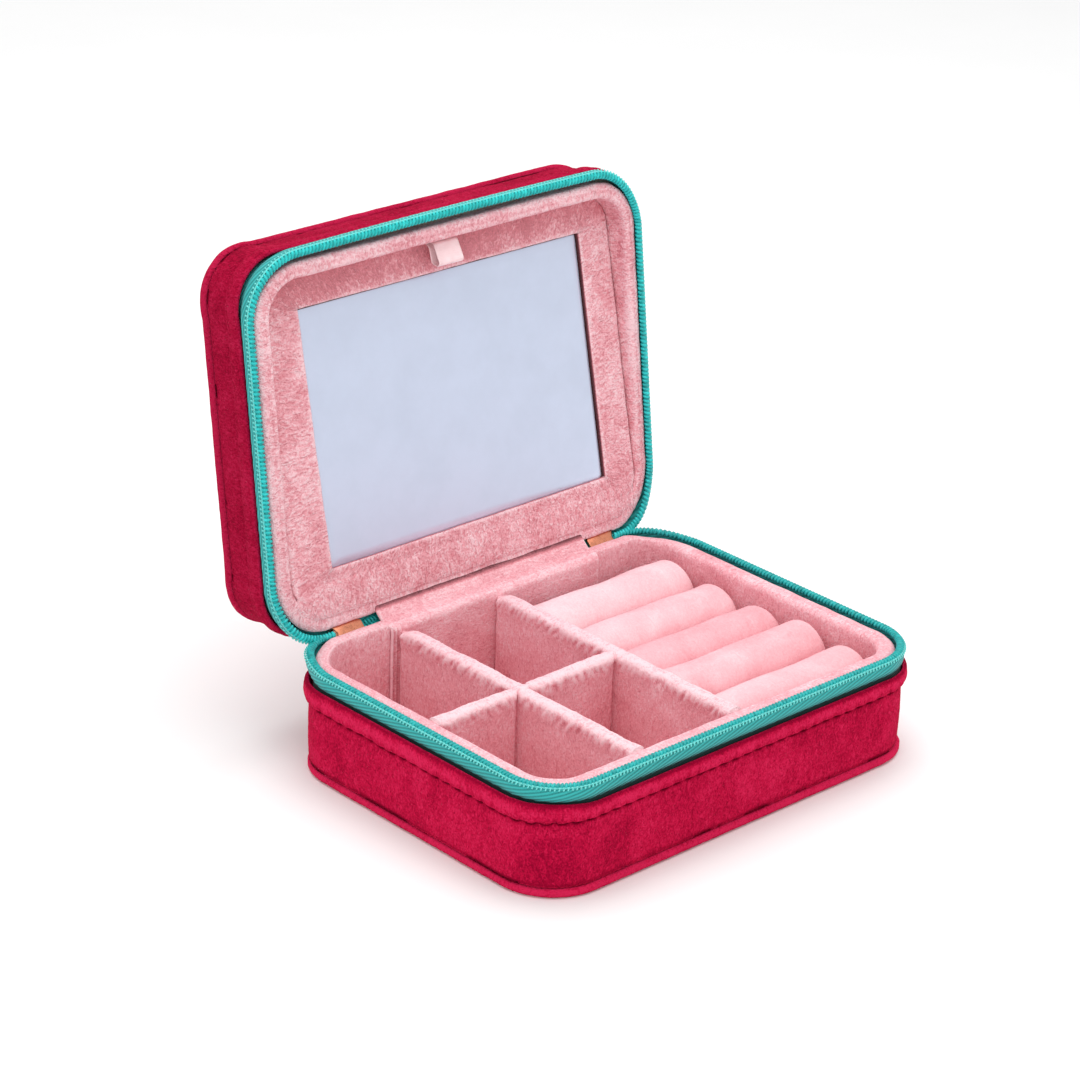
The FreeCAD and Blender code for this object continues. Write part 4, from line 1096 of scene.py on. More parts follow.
class JEWELRYBOX_OT_base_lining(Operator):
    """Padded walls and floor inside the base"""
    bl_idname = "jewelrybox.base_lining"
    bl_label = "Base lining"

    def execute(self, context):
        case = case_outline()
        near = extent("base_lining")[0][0] - case.low[0]
        far = near + 5.0 * MM
        back_wall = extent("spine_lining")[0][1] + 1.1 * MM
        self.walls(case, near, far, back_wall)
        self.floor(sizes().corner_radius - far, back_wall)
        return {"FINISHED"}

    def walls(self, case, near, far, back_wall):
        s = sizes()
        low, high = extent("base_lining")
        foot, rim = low[2], high[2]
        bulge = 0.55 * MM
        width = far - near + bulge
        outer = case.inset(near - bulge)
        inner = Outline(case.low + far, (case.high[0] - far, back_wall), s.corner_radius - far)
        section = rounded_line([(bulge, foot), (width, foot), (width, rim, s.rim_roll), (0, rim, s.rim_roll),
                                (0, rim - 3.6 * MM, 0.5 * MM), (bulge, rim - 4.6 * MM, 0.5 * MM)], 0.6 * MM)
        across, height = section.T
        grid = lofted(outer, inner, case.stations(s.cloth_step), section, width)
        square = facing(grid, RING)[0]
        on_rim = hump(height, rim, 2.4 * MM)
        outside = smooth_step(3.0 * MM, 0.5 * MM, across) * smooth_step(-5 * MM, -2 * MM, height - rim)
        behind = along_back(grid)
        out_behind, up_behind, crease_depth = 3.2 * MM, 1.5 * MM, 0.22 * MM
        grid[..., 1] += np.maximum(out_behind * behind, to_slider(grid)[..., 1]) * outside
        grid[..., 2] += up_behind * behind * on_rim
        crease = on_rim * hump(across, width / 2 + 0.7 * MM, 0.55 * MM)
        wander = 0.6 + 0.4 * blots(grid, 5 * MM, 5)
        grid = grid - (crease_depth * crease * wander)[..., None] * square
        grid = plush(grid, RING, 6, lump=0.16 * MM)
        lining = grid_piece("base_lining_velvet", grid, RING, "pink_lining", body="base",
                            nodes=["base_lining"])

    def floor(self, radius, back_wall):
        low, high = extent("base_floor_pad")
        high[1] = back_wall - 0.1 * MM
        grid = cloth_panel(Outline(low, high, radius), low[2], high[2], roll=0.6 * MM, step=1.0 * MM)
        grid = plush(grid, PLATE, 7, lump=0.15 * MM)
        pad = grid_piece("base_floor_velvet", grid, PLATE, "pink_lining", caps=True, body="base",
                         nodes=["base_floor_pad"])


class JEWELRYBOX_OT_dividers(Operator):
    """Velvet-wrapped dividers, gathered a little under their round top edges"""
    bl_idname = "jewelrybox.dividers"
    bl_label = "Dividers"

    def execute(self, context):
        self.divider("divider_main", along=1, sink=0.0, seed=8)
        self.divider("divider_side", along=1, sink=0.25 * MM, seed=9)
        self.divider("divider_cross", along=0, sink=0.1 * MM, seed=10)
        return {"FINISHED"}

    def divider(self, node, along, sink, seed):
        low, high = extent(node)
        foot, padding, swell, overlap = low[2], 1.6 * MM, 0.55 * MM, 0.6 * MM
        top, roll = high[2] + padding - sink, sizes().divider_roll
        half = (high[1 - along] - low[1 - along]) / 2
        middle = (high[1 - along] + low[1 - along]) / 2
        shoulder = top - 6 * MM
        section = rounded_line([(-half, foot, 0.4 * MM), (half, foot, 0.4 * MM), (half, shoulder, 6 * MM),
                                (half + swell, top, roll), (-half - swell, top, roll),
                                (-half, shoulder, 6 * MM)], 0.5 * MM)
        across, height = section.T
        run = np.arange(low[along] - overlap, high[along] + overlap, 0.42 * MM)
        seams = sum(hump(run, seam, 0.8 * MM) for seam in self.seams(node))
        grid = extruded(run, middle + across * (1 - 0.55 * seams[:, None]), height, along)
        square = facing(grid, BAND)[0]
        drop = (top - height)[None, :]
        under_edge = hump(drop, 2.4 * MM, 1.9 * MM)
        lean, gather_width, gather_wander = 0.55, 1.9 * MM, 3.0
        slant = run[:, None] + lean * np.sign(across) * drop
        waver = blots(grid, 7 * MM, seed)
        gathers = np.sin(FULL_TURN * slant / gather_width + gather_wander * waver)
        patchy = smooth_step(-0.35, 0.25, blots(grid, 16 * MM, seed + 3))
        combed = grid.copy()
        combed[..., along] = slant
        combed[..., 2] *= 0.4
        tufts = blots(combed, 1.5 * MM, seed + 5)
        gather_height, tuft_height, top_waver = 0.12, 0.5, 0.28 * MM
        amount = (gather_height * gathers * patchy + tuft_height * tufts) * MM * under_edge
        amount = amount + top_waver * waver * hump(drop, 0, 3 * MM)
        # Painted light along each padded top, and painted light and shade on the tufts as they stand out or
        # sink in
        top_painted_light, tuft_light_and_shade = -0.13, -0.22
        shade = top_painted_light * hump(drop, 0, 2.6 * MM) + tuft_light_and_shade * tufts * under_edge
        grid = plush(grid + amount[..., None] * square, BAND, seed + 1, lump=0.12 * MM)
        if along == 1:
            back_end = smooth_step(high[1] - 5 * MM, high[1], run)[:, None]
            grid[..., 2] -= padding * back_end * smooth_step(8 * MM, 0, drop)
        piece = grid_piece(node + "_velvet", grid, BAND, "pink_lining", caps=True, body="base", nodes=[node],
                           shade=shade)

    def seams(self, node):
        """Where a divider is drawn in beside the ones that it meets."""
        if node != "divider_cross":
            return [extent(node)[1][1]]
        gap = 0.3 * MM
        others = [extent(other) for other in ("divider_side", "divider_main")]
        return [face for low, high in others for face in (low[0] - gap, high[0] + gap)]


class JEWELRYBOX_OT_ring_rolls(Operator):
    """Padded rolls that grip rings between them"""
    bl_idname = "jewelrybox.ring_rolls"
    bl_label = "Ring rolls"

    # How far each roll swells up and reaches out past its solid, and how much shade is painted on it (painted
    # light where negative)
    FORMS = ((1.6 * MM, 3.9 * MM, -0.1), (0.1 * MM, 4.2 * MM, 0.02), (-0.2 * MM, 4.4 * MM, 0.17),
             (1.8 * MM, 4.0 * MM, 0.13), (0.6 * MM, 3.4 * MM, 0.08))

    def execute(self, context):
        rolls = sorted(node for node in frame["nodes"] if node.startswith("ring_roll_"))
        for number, node in enumerate(rolls):
            self.roll(node, *self.FORMS[number], seed=20 + number)
        return {"FINISHED"}

    def roll(self, node, rise, reach, brushed, seed):
        low, high = extent(node)
        middle, half = (low[1] + high[1]) / 2, (high[1] - low[1]) / 2
        foot, top = low[2], high[2] + rise
        foot_half = half - 1.2 * MM
        start, end = low[0], high[0] + reach
        step, near_round, far_round = 0.7 * MM, 3 * MM, 6.0 * MM
        section = rounded_line([(-foot_half, foot, 1.0 * MM), (foot_half, foot, 1.0 * MM),
                                (half, top - half, 2.0 * MM), (half, top, half * 0.98),
                                (-half, top, half * 0.98), (-half, top - half, 2.0 * MM)], step)
        run = np.arange(start, end + step / 2, step)
        near_end = np.clip((start + near_round - run) / near_round, 0, 1)
        far_end = np.clip((run - end + far_round) / far_round, 0, 1)
        share = (np.sqrt(1 - 0.8 * far_end ** 2.2) * np.sqrt(1 - 0.4 * near_end ** 2))[:, None]
        grid = extruded(run, middle + section[:, 0] * share, foot + (section[:, 1] - foot) * share)
        grid = plush(grid, BAND, seed, lump=0.45 * MM, lump_grain=15 * MM, tuft=0.06 * MM)
        # The roll's painted shade (painted light where negative), more painted shade towards its far end, and
        # a small lift of every roll's tone
        end_shade, lighter = 0.12, 0.06
        shade = brushed + end_shade * smooth_step(start + 12 * MM, end, grid[..., 0]) - lighter
        piece = grid_piece(node + "_velvet", grid, BAND, "ring_velvet", caps=True, body="base", nodes=[node],
                           shade=shade)


class JEWELRYBOX_OT_spine(Operator):
    """Velvet strips that join the lid to the base, outside and inside the hinge"""
    bl_idname = "jewelrybox.spine"
    bl_label = "Spine"

    def execute(self, context):
        self.outside()
        self.inside()
        return {"FINISHED"}

    def strip(self, node, line, thick, left, right, look, seed, start, end, flat_length, relief=None):
        """A band of cloth that follows a line (y, z), with a rounded edge all round."""
        half = thick / 2
        width = right - left
        section = rectangle(0, -half, width, half, half * 0.95, 0.6 * MM)
        across, off = section.T
        shade = np.zeros((len(line), len(section)))
        raise_by = np.broadcast_to(off, shade.shape)
        if relief is not None:
            amount = relief(across[None, :], line[:, None, :])
            raise_by = off + amount * (off > 0)
            to_end = np.linalg.norm(line - line[-1], axis=1)[:, None]
            # Painted shade where the strip tucks under the lid's lip and in its sewn line and pleat hollows,
            # and painted light around the bend
            end_shade, bend_light, sewn_shade = 0.9, 0.03, 0.5
            shade = (end_shade * smooth_step(4.6 * MM, 2.8 * MM, to_end)
                     - bend_light * hump(to_end, 8 * MM, 5 * MM) - sewn_shade * np.minimum(amount, 0) / MM)
        grid = np.concatenate([np.broadcast_to(left + across, shade.shape)[..., None],
                               beside_line(line, raise_by)], -1)
        grid = plush(grid, BAND, seed, lump=0.14 * MM, lump_grain=8 * MM)
        piece = grid_piece(node + "_velvet", grid, BAND, look, caps=True, nodes=[node], shade=shade)
        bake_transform(piece)

    def outside(self):
        low, high = extent("spine_cover")
        leg, thick, margin, fold_round = 17.0 * MM, 0.9 * MM, 3.0 * MM, 1.2 * MM
        face = low[1] + thick / 2
        turned = ON_LID @ Vector((0, face, HINGE.z + leg))
        line = rounded_line([(face, HINGE.z - leg), (face, HINGE.z, fold_round), (turned.y, turned.z)],
                            0.6 * MM, closed=False)
        self.strip("spine_cover", line, thick, low[0] + margin, high[0] - margin, "crimson_velvet", 31,
                   start=(0, face, HINGE.z - 1.5 * MM), end=(0, face + 2.0 * MM, HINGE.z),
                   flat_length=2 * leg)

    def inside(self):
        low, high = extent("spine_lining")
        thick = 1.4 * MM
        wall = low[1] + 0.4 * MM
        rim = extent("base_lining")[1][2] + 0.7 * MM
        floor = extent("base_floor_pad")[1][2] - 0.3 * MM
        lid_end = np.array([high[1] - thick / 2, high[2] - thick / 2])
        tucked = lid_end + np.array([2.2 * MM, 0.5 * MM])
        bend = lid_end + np.array([-0.6 * MM, -0.5 * MM])
        line = rounded_line([(wall, floor), (wall, rim, 1.6 * MM), (wall + 4.2 * MM, rim, 3 * MM),
                             (*bend, 0.7 * MM), tucked], 0.5 * MM, closed=False)
        length = np.linalg.norm(np.diff(line, axis=0), axis=1).sum()
        pleat_width, ridge = 4.4 * MM, 1.45 * MM

        def relief(across, spot):
            """Three ridges down the left edge, and a sewn line over the rim."""
            ridge_height, sewn_depth = 0.32 * MM, 0.35 * MM
            ridges = ridge_height * np.cos(FULL_TURN * across / ridge)
            pleat = ridges * smooth_step(pleat_width, pleat_width - ridge, across)
            on_wall = smooth_step(rim + 1.0 * MM, rim - 2.0 * MM, spot[..., 1])
            sewn = -sewn_depth * hump(spot[..., 0], wall + 2.4 * MM, 0.6 * MM)
            return pleat * on_wall + sewn

        self.strip("spine_lining", line, thick, low[0], high[0], "pink_lining", 32,
                   start=(0, wall + 4.5 * MM, rim), end=(0, *lid_end), flat_length=length, relief=relief)


class JEWELRYBOX_OT_lid_lining(Operator):
    """Padded rim inside the lid, and the lining behind the mirror flap"""
    bl_idname = "jewelrybox.lid_lining"
    bl_label = "Lid lining"

    def execute(self, context):
        pad_low, pad_high = extent("lid_back_lining", ON_LID)
        radius = sizes().lid_opening_radius
        gap = 0.1 * MM
        self.rim(Outline(pad_low - gap, pad_high + gap, radius))
        back = cloth_panel(Outline(pad_low, pad_high, radius), pad_low[2], pad_high[2], 0.5 * MM, 1.4 * MM)
        grid_piece("lid_back_velvet", plush(back, PLATE, 44), PLATE, "pink_velvet", caps=True, body="lid",
                   nodes=["lid_back_lining"], turn=ON_LID)
        self.ledge()
        return {"FINISHED"}

    def rim(self, inner):
        s = sizes()
        low, high = extent("lid_lining", ON_LID)
        rim, foot, roll, width = low[2], high[2], s.lid_rim_roll, 4.5 * MM
        case = case_outline()
        outer = case.inset(low[0] - case.low[0] - 0.5 * MM)
        section = rounded_line([(0, foot), (0, rim, roll), (width, rim, roll), (width, foot)], 0.55 * MM)
        across, height = section.T
        stations = case.stations(s.cloth_step)
        grid = lofted(outer, inner, stations, section, width)
        square = facing(grid, RING)[0]
        on_rim = hump(height, rim, 2.2 * MM)
        outer_side = smooth_step(2.2 * MM, 0.2 * MM, across) * hump(height, rim, 3.5 * MM)
        behind = along_back(grid)
        out = case.walk(stations)[1]
        left, right, front = outward_shares(out)
        on_left, on_right, on_front = 1.2, 0.1, 0.3
        out_behind, down_behind, crease_depth = 2.6 * MM, 1.0 * MM, 0.26 * MM
        swell = (on_left * left ** 2 + on_right * right ** 2 + on_front * front ** 2) * MM
        push_out(grid, out, swell[:, None] * outer_side)
        grid[..., 1] += np.maximum(out_behind * behind, to_slider(grid)[..., 1]) * outer_side
        grid[..., 2] -= down_behind * behind * outer_side
        middle = 2.3 * MM + 0.4 * MM * blots(grid, 11 * MM, 41)
        crease = on_rim * hump(across, middle, 0.5 * MM)
        crumple = 0.5 + 0.9 * blots(grid, 1.7 * MM, 42)
        grid = grid - (crease_depth * crease * crumple)[..., None] * square
        grid = plush(grid, RING, 43, lump=0.18 * MM)
        piece = grid_piece("lid_lining_velvet", grid, RING, "pink_velvet", body="lid", nodes=["lid_lining"],
                           turn=ON_LID)

    def ledge(self):
        """The padded step that the flap's upper edge leans on."""
        low, high = extent("flap_ledge", ON_LID)
        drop = (high[1] - low[1]) * math.tan(FLAP_TILT)
        soft, sharp = 0.7 * MM, 0.2 * MM
        section = rounded_line([(low[1], low[2] + drop, soft), (high[1], low[2], soft),
                                (high[1], high[2], sharp), (low[1], high[2], sharp)], 0.4 * MM)
        grid = extruded(np.arange(low[0], high[0], 0.8 * MM), *section.T)
        grid = plush(grid, BAND, 45, lump=0.05 * MM, tuft=0.03 * MM)
        grid_piece("flap_ledge_velvet", grid, BAND, "pink_velvet", caps=True, body="lid",
                   nodes=["flap_ledge"], turn=ON_LID)


class JEWELRYBOX_OT_mirror_flap(Operator):
    """The velvet-faced flap with its mirror"""
    bl_idname = "jewelrybox.mirror_flap"
    bl_label = "Mirror flap"

    def execute(self, context):
        self.face()
        self.layers()
        self.glass()
        self.hinge_roll()
        return {"FINISHED"}

    def face(self):
        low, high = extent("flap_face", ON_FLAP)
        glass_low, glass_high = extent("mirror_glass", ON_FLAP)
        high[1] = FLAP_HINGE.y - 0.1 * MM
        face, back = low[2], high[2]
        margin, width = 0.3 * MM, 9.0 * MM
        lap, gap, side_gap = 0.3 * MM, 0.3 * MM, 0.65 * MM
        outer = Outline(low - margin, high + margin, sizes().flap_radius - 1.0 * MM)
        inner = Outline(glass_low + np.array([lap, -gap, 0]), glass_high + np.array([side_gap, -lap, 0]),
                        0.4 * MM)
        section = rounded_line([(0, back), (0, face, 0.9 * MM), (width, face, 0.45 * MM), (width, back)],
                               0.5 * MM)
        across, height = section.T
        stations = outer.stations(0.7 * MM)
        grid = lofted(outer, inner, stations, section, width)
        grid = plush(grid, RING, 51, lump=0.14 * MM, lump_grain=7 * MM, tuft=0.06 * MM, tuft_grain=1.3 * MM)
        # Painted shade towards the flap's upper edge, and painted shadow in dark lines beside the glass on
        # its right side and its hinge side
        edge_shade, right_shade, back_shade = 0.13, 1.5, 0.5
        shade = edge_shade * smooth_step(low[1] + 12 * MM, low[1] + 3 * MM, grid[..., 1])
        out = outer.walk(stations)[1]
        beside_glass = (smooth_step(width - 0.25 * MM, width - 0.05 * MM, across)
                        * smooth_step(0.35 * MM, 0.7 * MM, height - face))
        dark_sides = (right_shade * smooth_step(0.8, 0.95, out[:, 0])
                      + back_shade * smooth_step(0.8, 0.95, out[:, 1]))
        shade = shade + dark_sides[:, None] * beside_glass
        grid_piece("flap_face_velvet", grid, RING, "pink_velvet", body="mirror_flap", nodes=["flap_face"],
                   turn=ON_FLAP, shade=shade)

    def layers(self):
        for node, look in (("flap_board", "greyboard"), ("flap_back", "pink_velvet")):
            low, high = extent(node, ON_FLAP)
            outline = Outline(low, high, sizes().flap_radius)
            grid = cloth_panel(outline, low[2], high[2], roll=0.25 * MM, step=1.6 * MM)
            grid_piece(node + "_layer", grid, PLATE, look, caps=True, body="mirror_flap", nodes=[node],
                       turn=ON_FLAP)

    def glass(self):
        low, high = extent("mirror_glass", ON_FLAP)
        outline = Outline(low, high, 0.4 * MM)
        grid = cloth_panel(outline, low[2], high[2], roll=0.18 * MM, step=2.0 * MM)
        piece = grid_piece("mirror_plate", grid, PLATE, "mirror", caps=True, body="mirror_flap",
                           nodes=["mirror_glass"], turn=ON_FLAP)
        crease_edges(piece)
        dress("mirror_pad", "foam_tape")

    def hinge_roll(self):
        """The velvet that runs on from the flap to the lid's rim."""
        axis_y = FLAP_HINGE.y
        face_low, face_high = extent("flap_face", ON_FLAP)
        face = face_low[2]
        rim = extent("lid_lining", ON_LID)[0][2]
        slope = math.tan(FLAP_TILT)
        line = rounded_line([(axis_y - 6.5 * MM, face + 6.5 * MM * slope + 0.35 * MM),
                             (axis_y - 4.5 * MM, face + 4.5 * MM * slope - 0.05 * MM, 5 * MM),
                             (axis_y - 0.5 * MM, face - 0.15 * MM, 5 * MM),
                             (axis_y + 2.4 * MM, rim - 0.45 * MM, 5 * MM),
                             (axis_y + 4.2 * MM, rim - 0.35 * MM, 1.0 * MM),
                             (axis_y + 4.7 * MM, rim + 1.0 * MM)], 0.4 * MM, closed=False)
        half = 0.35 * MM * (0.3 + 0.7 * np.sin(np.linspace(0, math.pi, len(line))))
        thick = np.stack([0 * half, half], -1)
        section = np.concatenate([line + thick, (line - thick)[::-1]])
        reach = face_high[0] - 1.0 * MM
        run = np.arange(-reach, reach + 0.3 * MM, 0.7 * MM)
        grid = extruded(run, *section.T)
        case = case_outline()
        past_corner = np.maximum(np.abs(run) - (case.high[0] - case.radius), 0)
        sag = case.radius - 4.0 * MM
        end_y = case.high[1] - case.radius + np.sqrt(sag ** 2 - past_corner ** 2)
        share = np.minimum(1, (end_y - axis_y) / (section[:, 0].max() - axis_y))[:, None]
        grid[..., 1] -= np.maximum(section[:, 0] - axis_y, 0) * (1 - share)
        ends = np.minimum(run - run[0], run[-1] - run)
        grid[..., 2] += 0.8 * MM * smooth_step(9 * MM, 0, ends)[:, None]
        grid = plush(grid, BAND, 55, lump=0.08 * MM, tuft=0.05 * MM)
        piece = grid_piece("flap_hinge_velvet", grid, BAND, "pink_velvet", caps=True,
                           nodes=["flap_hinge_strip"], turn=ON_LID)
        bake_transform(piece)


class JEWELRYBOX_OT_ribbon(Operator):
    """Satin loop that pulls the mirror flap open"""
    bl_idname = "jewelrybox.ribbon"
    bl_label = "Ribbon pull"

    # The loop's corners: millimetres down from its upper end and out from the flap, and their rounding
    CORNERS = ((0.1, 0.2, 0.0), (0.4, 4.0, 1.0), (7.9, 6.4, 1.1), (6.3, 2.4, 1.2), (1.7, 1.9, 1.5),
               (0.5, 0.1, 0.0))

    def execute(self, context):
        low, high = extent("ribbon_loop", ON_FLAP)
        top, face = low[1], high[2]
        corners = [(top + down * MM, face - out * MM, soft * MM) for down, out, soft in self.CORNERS]
        line = rounded_line(corners, 0.3 * MM, closed=False)
        half, width = 0.14 * MM, sizes().ribbon_width
        section = rectangle(-width / 2, -half, width / 2, half, half * 0.9, 0.3 * MM)
        across, off = section.T
        off = np.broadcast_to(off, (len(line), len(off)))
        grid = np.concatenate([np.broadcast_to(across, off.shape)[..., None], beside_line(line, off)], -1)
        share = np.linspace(0, 1, len(line))[:, None]
        grid[..., 2] -= 0.35 * MM * np.sin(share * math.pi) * (across / width)
        grid_piece("ribbon_loop_satin", grid, BAND, "satin_ribbon", caps=True, body="mirror_flap",
                   nodes=["ribbon_loop"], turn=ON_FLAP)
        return {"FINISHED"}


def bevelled(outline, low, high, round_over):
    """Points and faces of a flat metal piece cut to an outline (across, height), with softened edges."""
    shape = bmesh.new()
    corners = [shape.verts.new((x, low, z)) for x, z in outline]
    face = shape.faces.new(corners)
    raised_part = bmesh.ops.extrude_face_region(shape, geom=[face])
    lifted = [v for v in raised_part["geom"] if isinstance(v, bmesh.types.BMVert)]
    bmesh.ops.translate(shape, verts=lifted, vec=(0, high - low, 0))
    bmesh.ops.recalc_face_normals(shape, faces=shape.faces)
    bmesh.ops.bevel(shape, geom=list(shape.edges), offset=round_over, segments=3, profile=0.5, affect="EDGES",
                    clamp_overlap=True)
    shape.verts.index_update()
    points = np.array([v.co for v in shape.verts])
    faces = [[v.index for v in f.verts] for f in shape.faces]
    shape.free()
    return in_order(points, faces)


def in_order(points, faces):
    """The same points and faces, sorted so that their order is the same each time."""
    order = np.lexsort(points.T)
    place = np.argsort(order).tolist()
    faces = [[place[corner] for corner in face] for face in faces]
    starts = [face.index(min(face)) for face in faces]
    return points[order], sorted(face[start:] + face[:start] for face, start in zip(faces, starts))


class JEWELRYBOX_OT_sliders(Operator):
    """Rose-gold sliders with their bridges, and the meshed ends of the zip beside them"""
    bl_idname = "jewelrybox.sliders"
    bl_label = "Zip sliders"

    def execute(self, context):
        for side, way in (("left", -1), ("right", 1)):
            self.slider(side, way)
            self.bridge(side)
            self.chain_tail(side, way)
        return {"FINISHED"}

    def slider(self, side, way):
        """Two shield-shaped plates, wide where the chain parts, on a post, with turned-in flanges."""
        node = f"{side}_slider_body"
        low, high = extent(node, ON_TAIL)
        inner, outer = low[1] + 3.1 * MM, high[1] + 1.2 * MM
        middle, half = (low[0] + high[0]) / 2, (high[0] - low[0]) / 2
        wide, narrow = 0.80 * (high[2] - HINGE.z), 0.62 * (high[2] - HINGE.z)
        plate, lip, sunk, soft, crisp = 1.0 * MM, 0.6 * MM, 0.4 * MM, 0.28 * MM, 0.12 * MM

        def placed(corners, flip=1):
            return [(middle + way * x, HINGE.z + flip * z) for x, z in corners]

        lower = [(-half, -0.78 * narrow), (-half + 1.2 * MM, -narrow), (0.1 * half, -narrow),
                 (0.55 * half, -wide), (half - 1.0 * MM, -wide), (half, -0.72 * wide)]
        upper = [(x, -z) for x, z in reversed(lower)]
        shield = placed([*lower, (half - 1.1 * MM, 0), *upper])
        parts = [bevelled(shield, base, base + plate, soft) for base in (inner, outer - plate)]
        post_back, post_front = half - 4.2 * MM, half - 1.4 * MM
        post = placed([(post_back, -0.55 * MM), (post_front, -0.8 * MM), (post_front, 0.8 * MM),
                       (post_back, 0.55 * MM)])
        parts.append(bevelled(post, inner + lip, outer - lip, crisp))
        rail_back, rail_front = -half + 1.0 * MM, 0.15 * half
        rail = [(rail_back, narrow - lip), (rail_front, narrow - lip), (rail_front, narrow),
                (rail_back, narrow)]
        for flip in (-1, 1):
            flange = placed(rail, flip)
            parts.append(bevelled(flange, inner + sunk, inner + plate + lip, crisp))
            parts.append(bevelled(flange, outer - plate - lip, outer - sunk, crisp))
        points, faces = joined(parts)
        piece = add_piece(node + "_plated", points, faces, "rose_gold", body=f"{side}_slider", nodes=[node],
                          turn=ON_TAIL)
        crease_edges(piece)

    def bridge(self, side):
        """A bent strap over the outer plate."""
        node = f"{side}_slider_bridge"
        low, high = extent(node, ON_TAIL)
        half_thick, bend = 0.5 * MM, 1.6 * MM
        foot, top = low[1] - 0.3 * MM, high[1] - half_thick
        middle, half = (low[0] + high[0]) / 2, (high[0] - low[0]) / 2 - half_thick
        wide = (high[2] - low[2]) / 2
        strap = rounded_line([(-half, foot), (-half, top, bend), (half, top, bend), (half, foot)], 0.4 * MM,
                             closed=False)
        off, across = rectangle(-half_thick, -wide, half_thick, wide, 0.3 * MM, 0.2 * MM).T
        flat = beside_line(strap, np.broadcast_to(off, (len(strap), len(off))))
        grid = raised(flat + np.array([middle, 0]), HINGE.z + across)
        piece = grid_piece(node + "_plated", grid, BAND, "rose_gold", caps=True, body=f"{side}_slider",
                           nodes=[node], turn=ON_TAIL)
        crease_edges(piece)

    def chain_tail(self, side, way):
        """The closed end of the zip: a strip of tape with two meshed rows of teeth."""
        node = f"{side}_chain_tail"
        low, high = extent(node, ON_TAIL)
        y, z = HINGE.y + 2.1 * MM, HINGE.z
        under, half_thick, wide = 7.0 * MM, 0.28 * MM, high[2] - HINGE.z
        start, end = low[0] - under * (way > 0), high[0] + under * (way < 0)
        strip = rectangle(-half_thick, -wide, half_thick, wide, 0.1 * MM, 0.3 * MM)
        run = np.minimum(np.arange(start, end + 0.2 * MM, 0.4 * MM), end)
        grid = extruded(run, y + strip[:, 0], z + strip[:, 1])
        grid_piece(node + "_woven", grid, BAND, "teal_tape", caps=True, body="zip_tail", nodes=[node],
                   turn=ON_TAIL)
        margin, half_deep, half_tall, apart = 0.3 * MM, 0.75 * MM, 0.95 * MM, 0.85 * MM
        turns, steps = max(2, int((end - start) / sizes().coil_pitch)), 12
        share = np.linspace(0, 1, turns * steps + 1)
        for row, name, phase in ((-1, "lower", math.pi), (1, "upper", 0)):
            angle = share * turns * FULL_TURN + phase
            spin = np.stack([0 * angle, np.cos(angle) * half_deep, np.sin(angle) * half_tall], -1)
            line = np.stack([start + margin + share * (end - start - 2 * margin), np.full(len(share), y),
                             np.full(len(share), z + row * apart)], -1)
            wire = tube(line + spin, 0.33 * MM, 6, spin)
            grid_piece(f"{node}_{name}_teeth", wire, BAND, "teal_coil", caps=True, body="zip_tail",
                       turn=ON_TAIL)


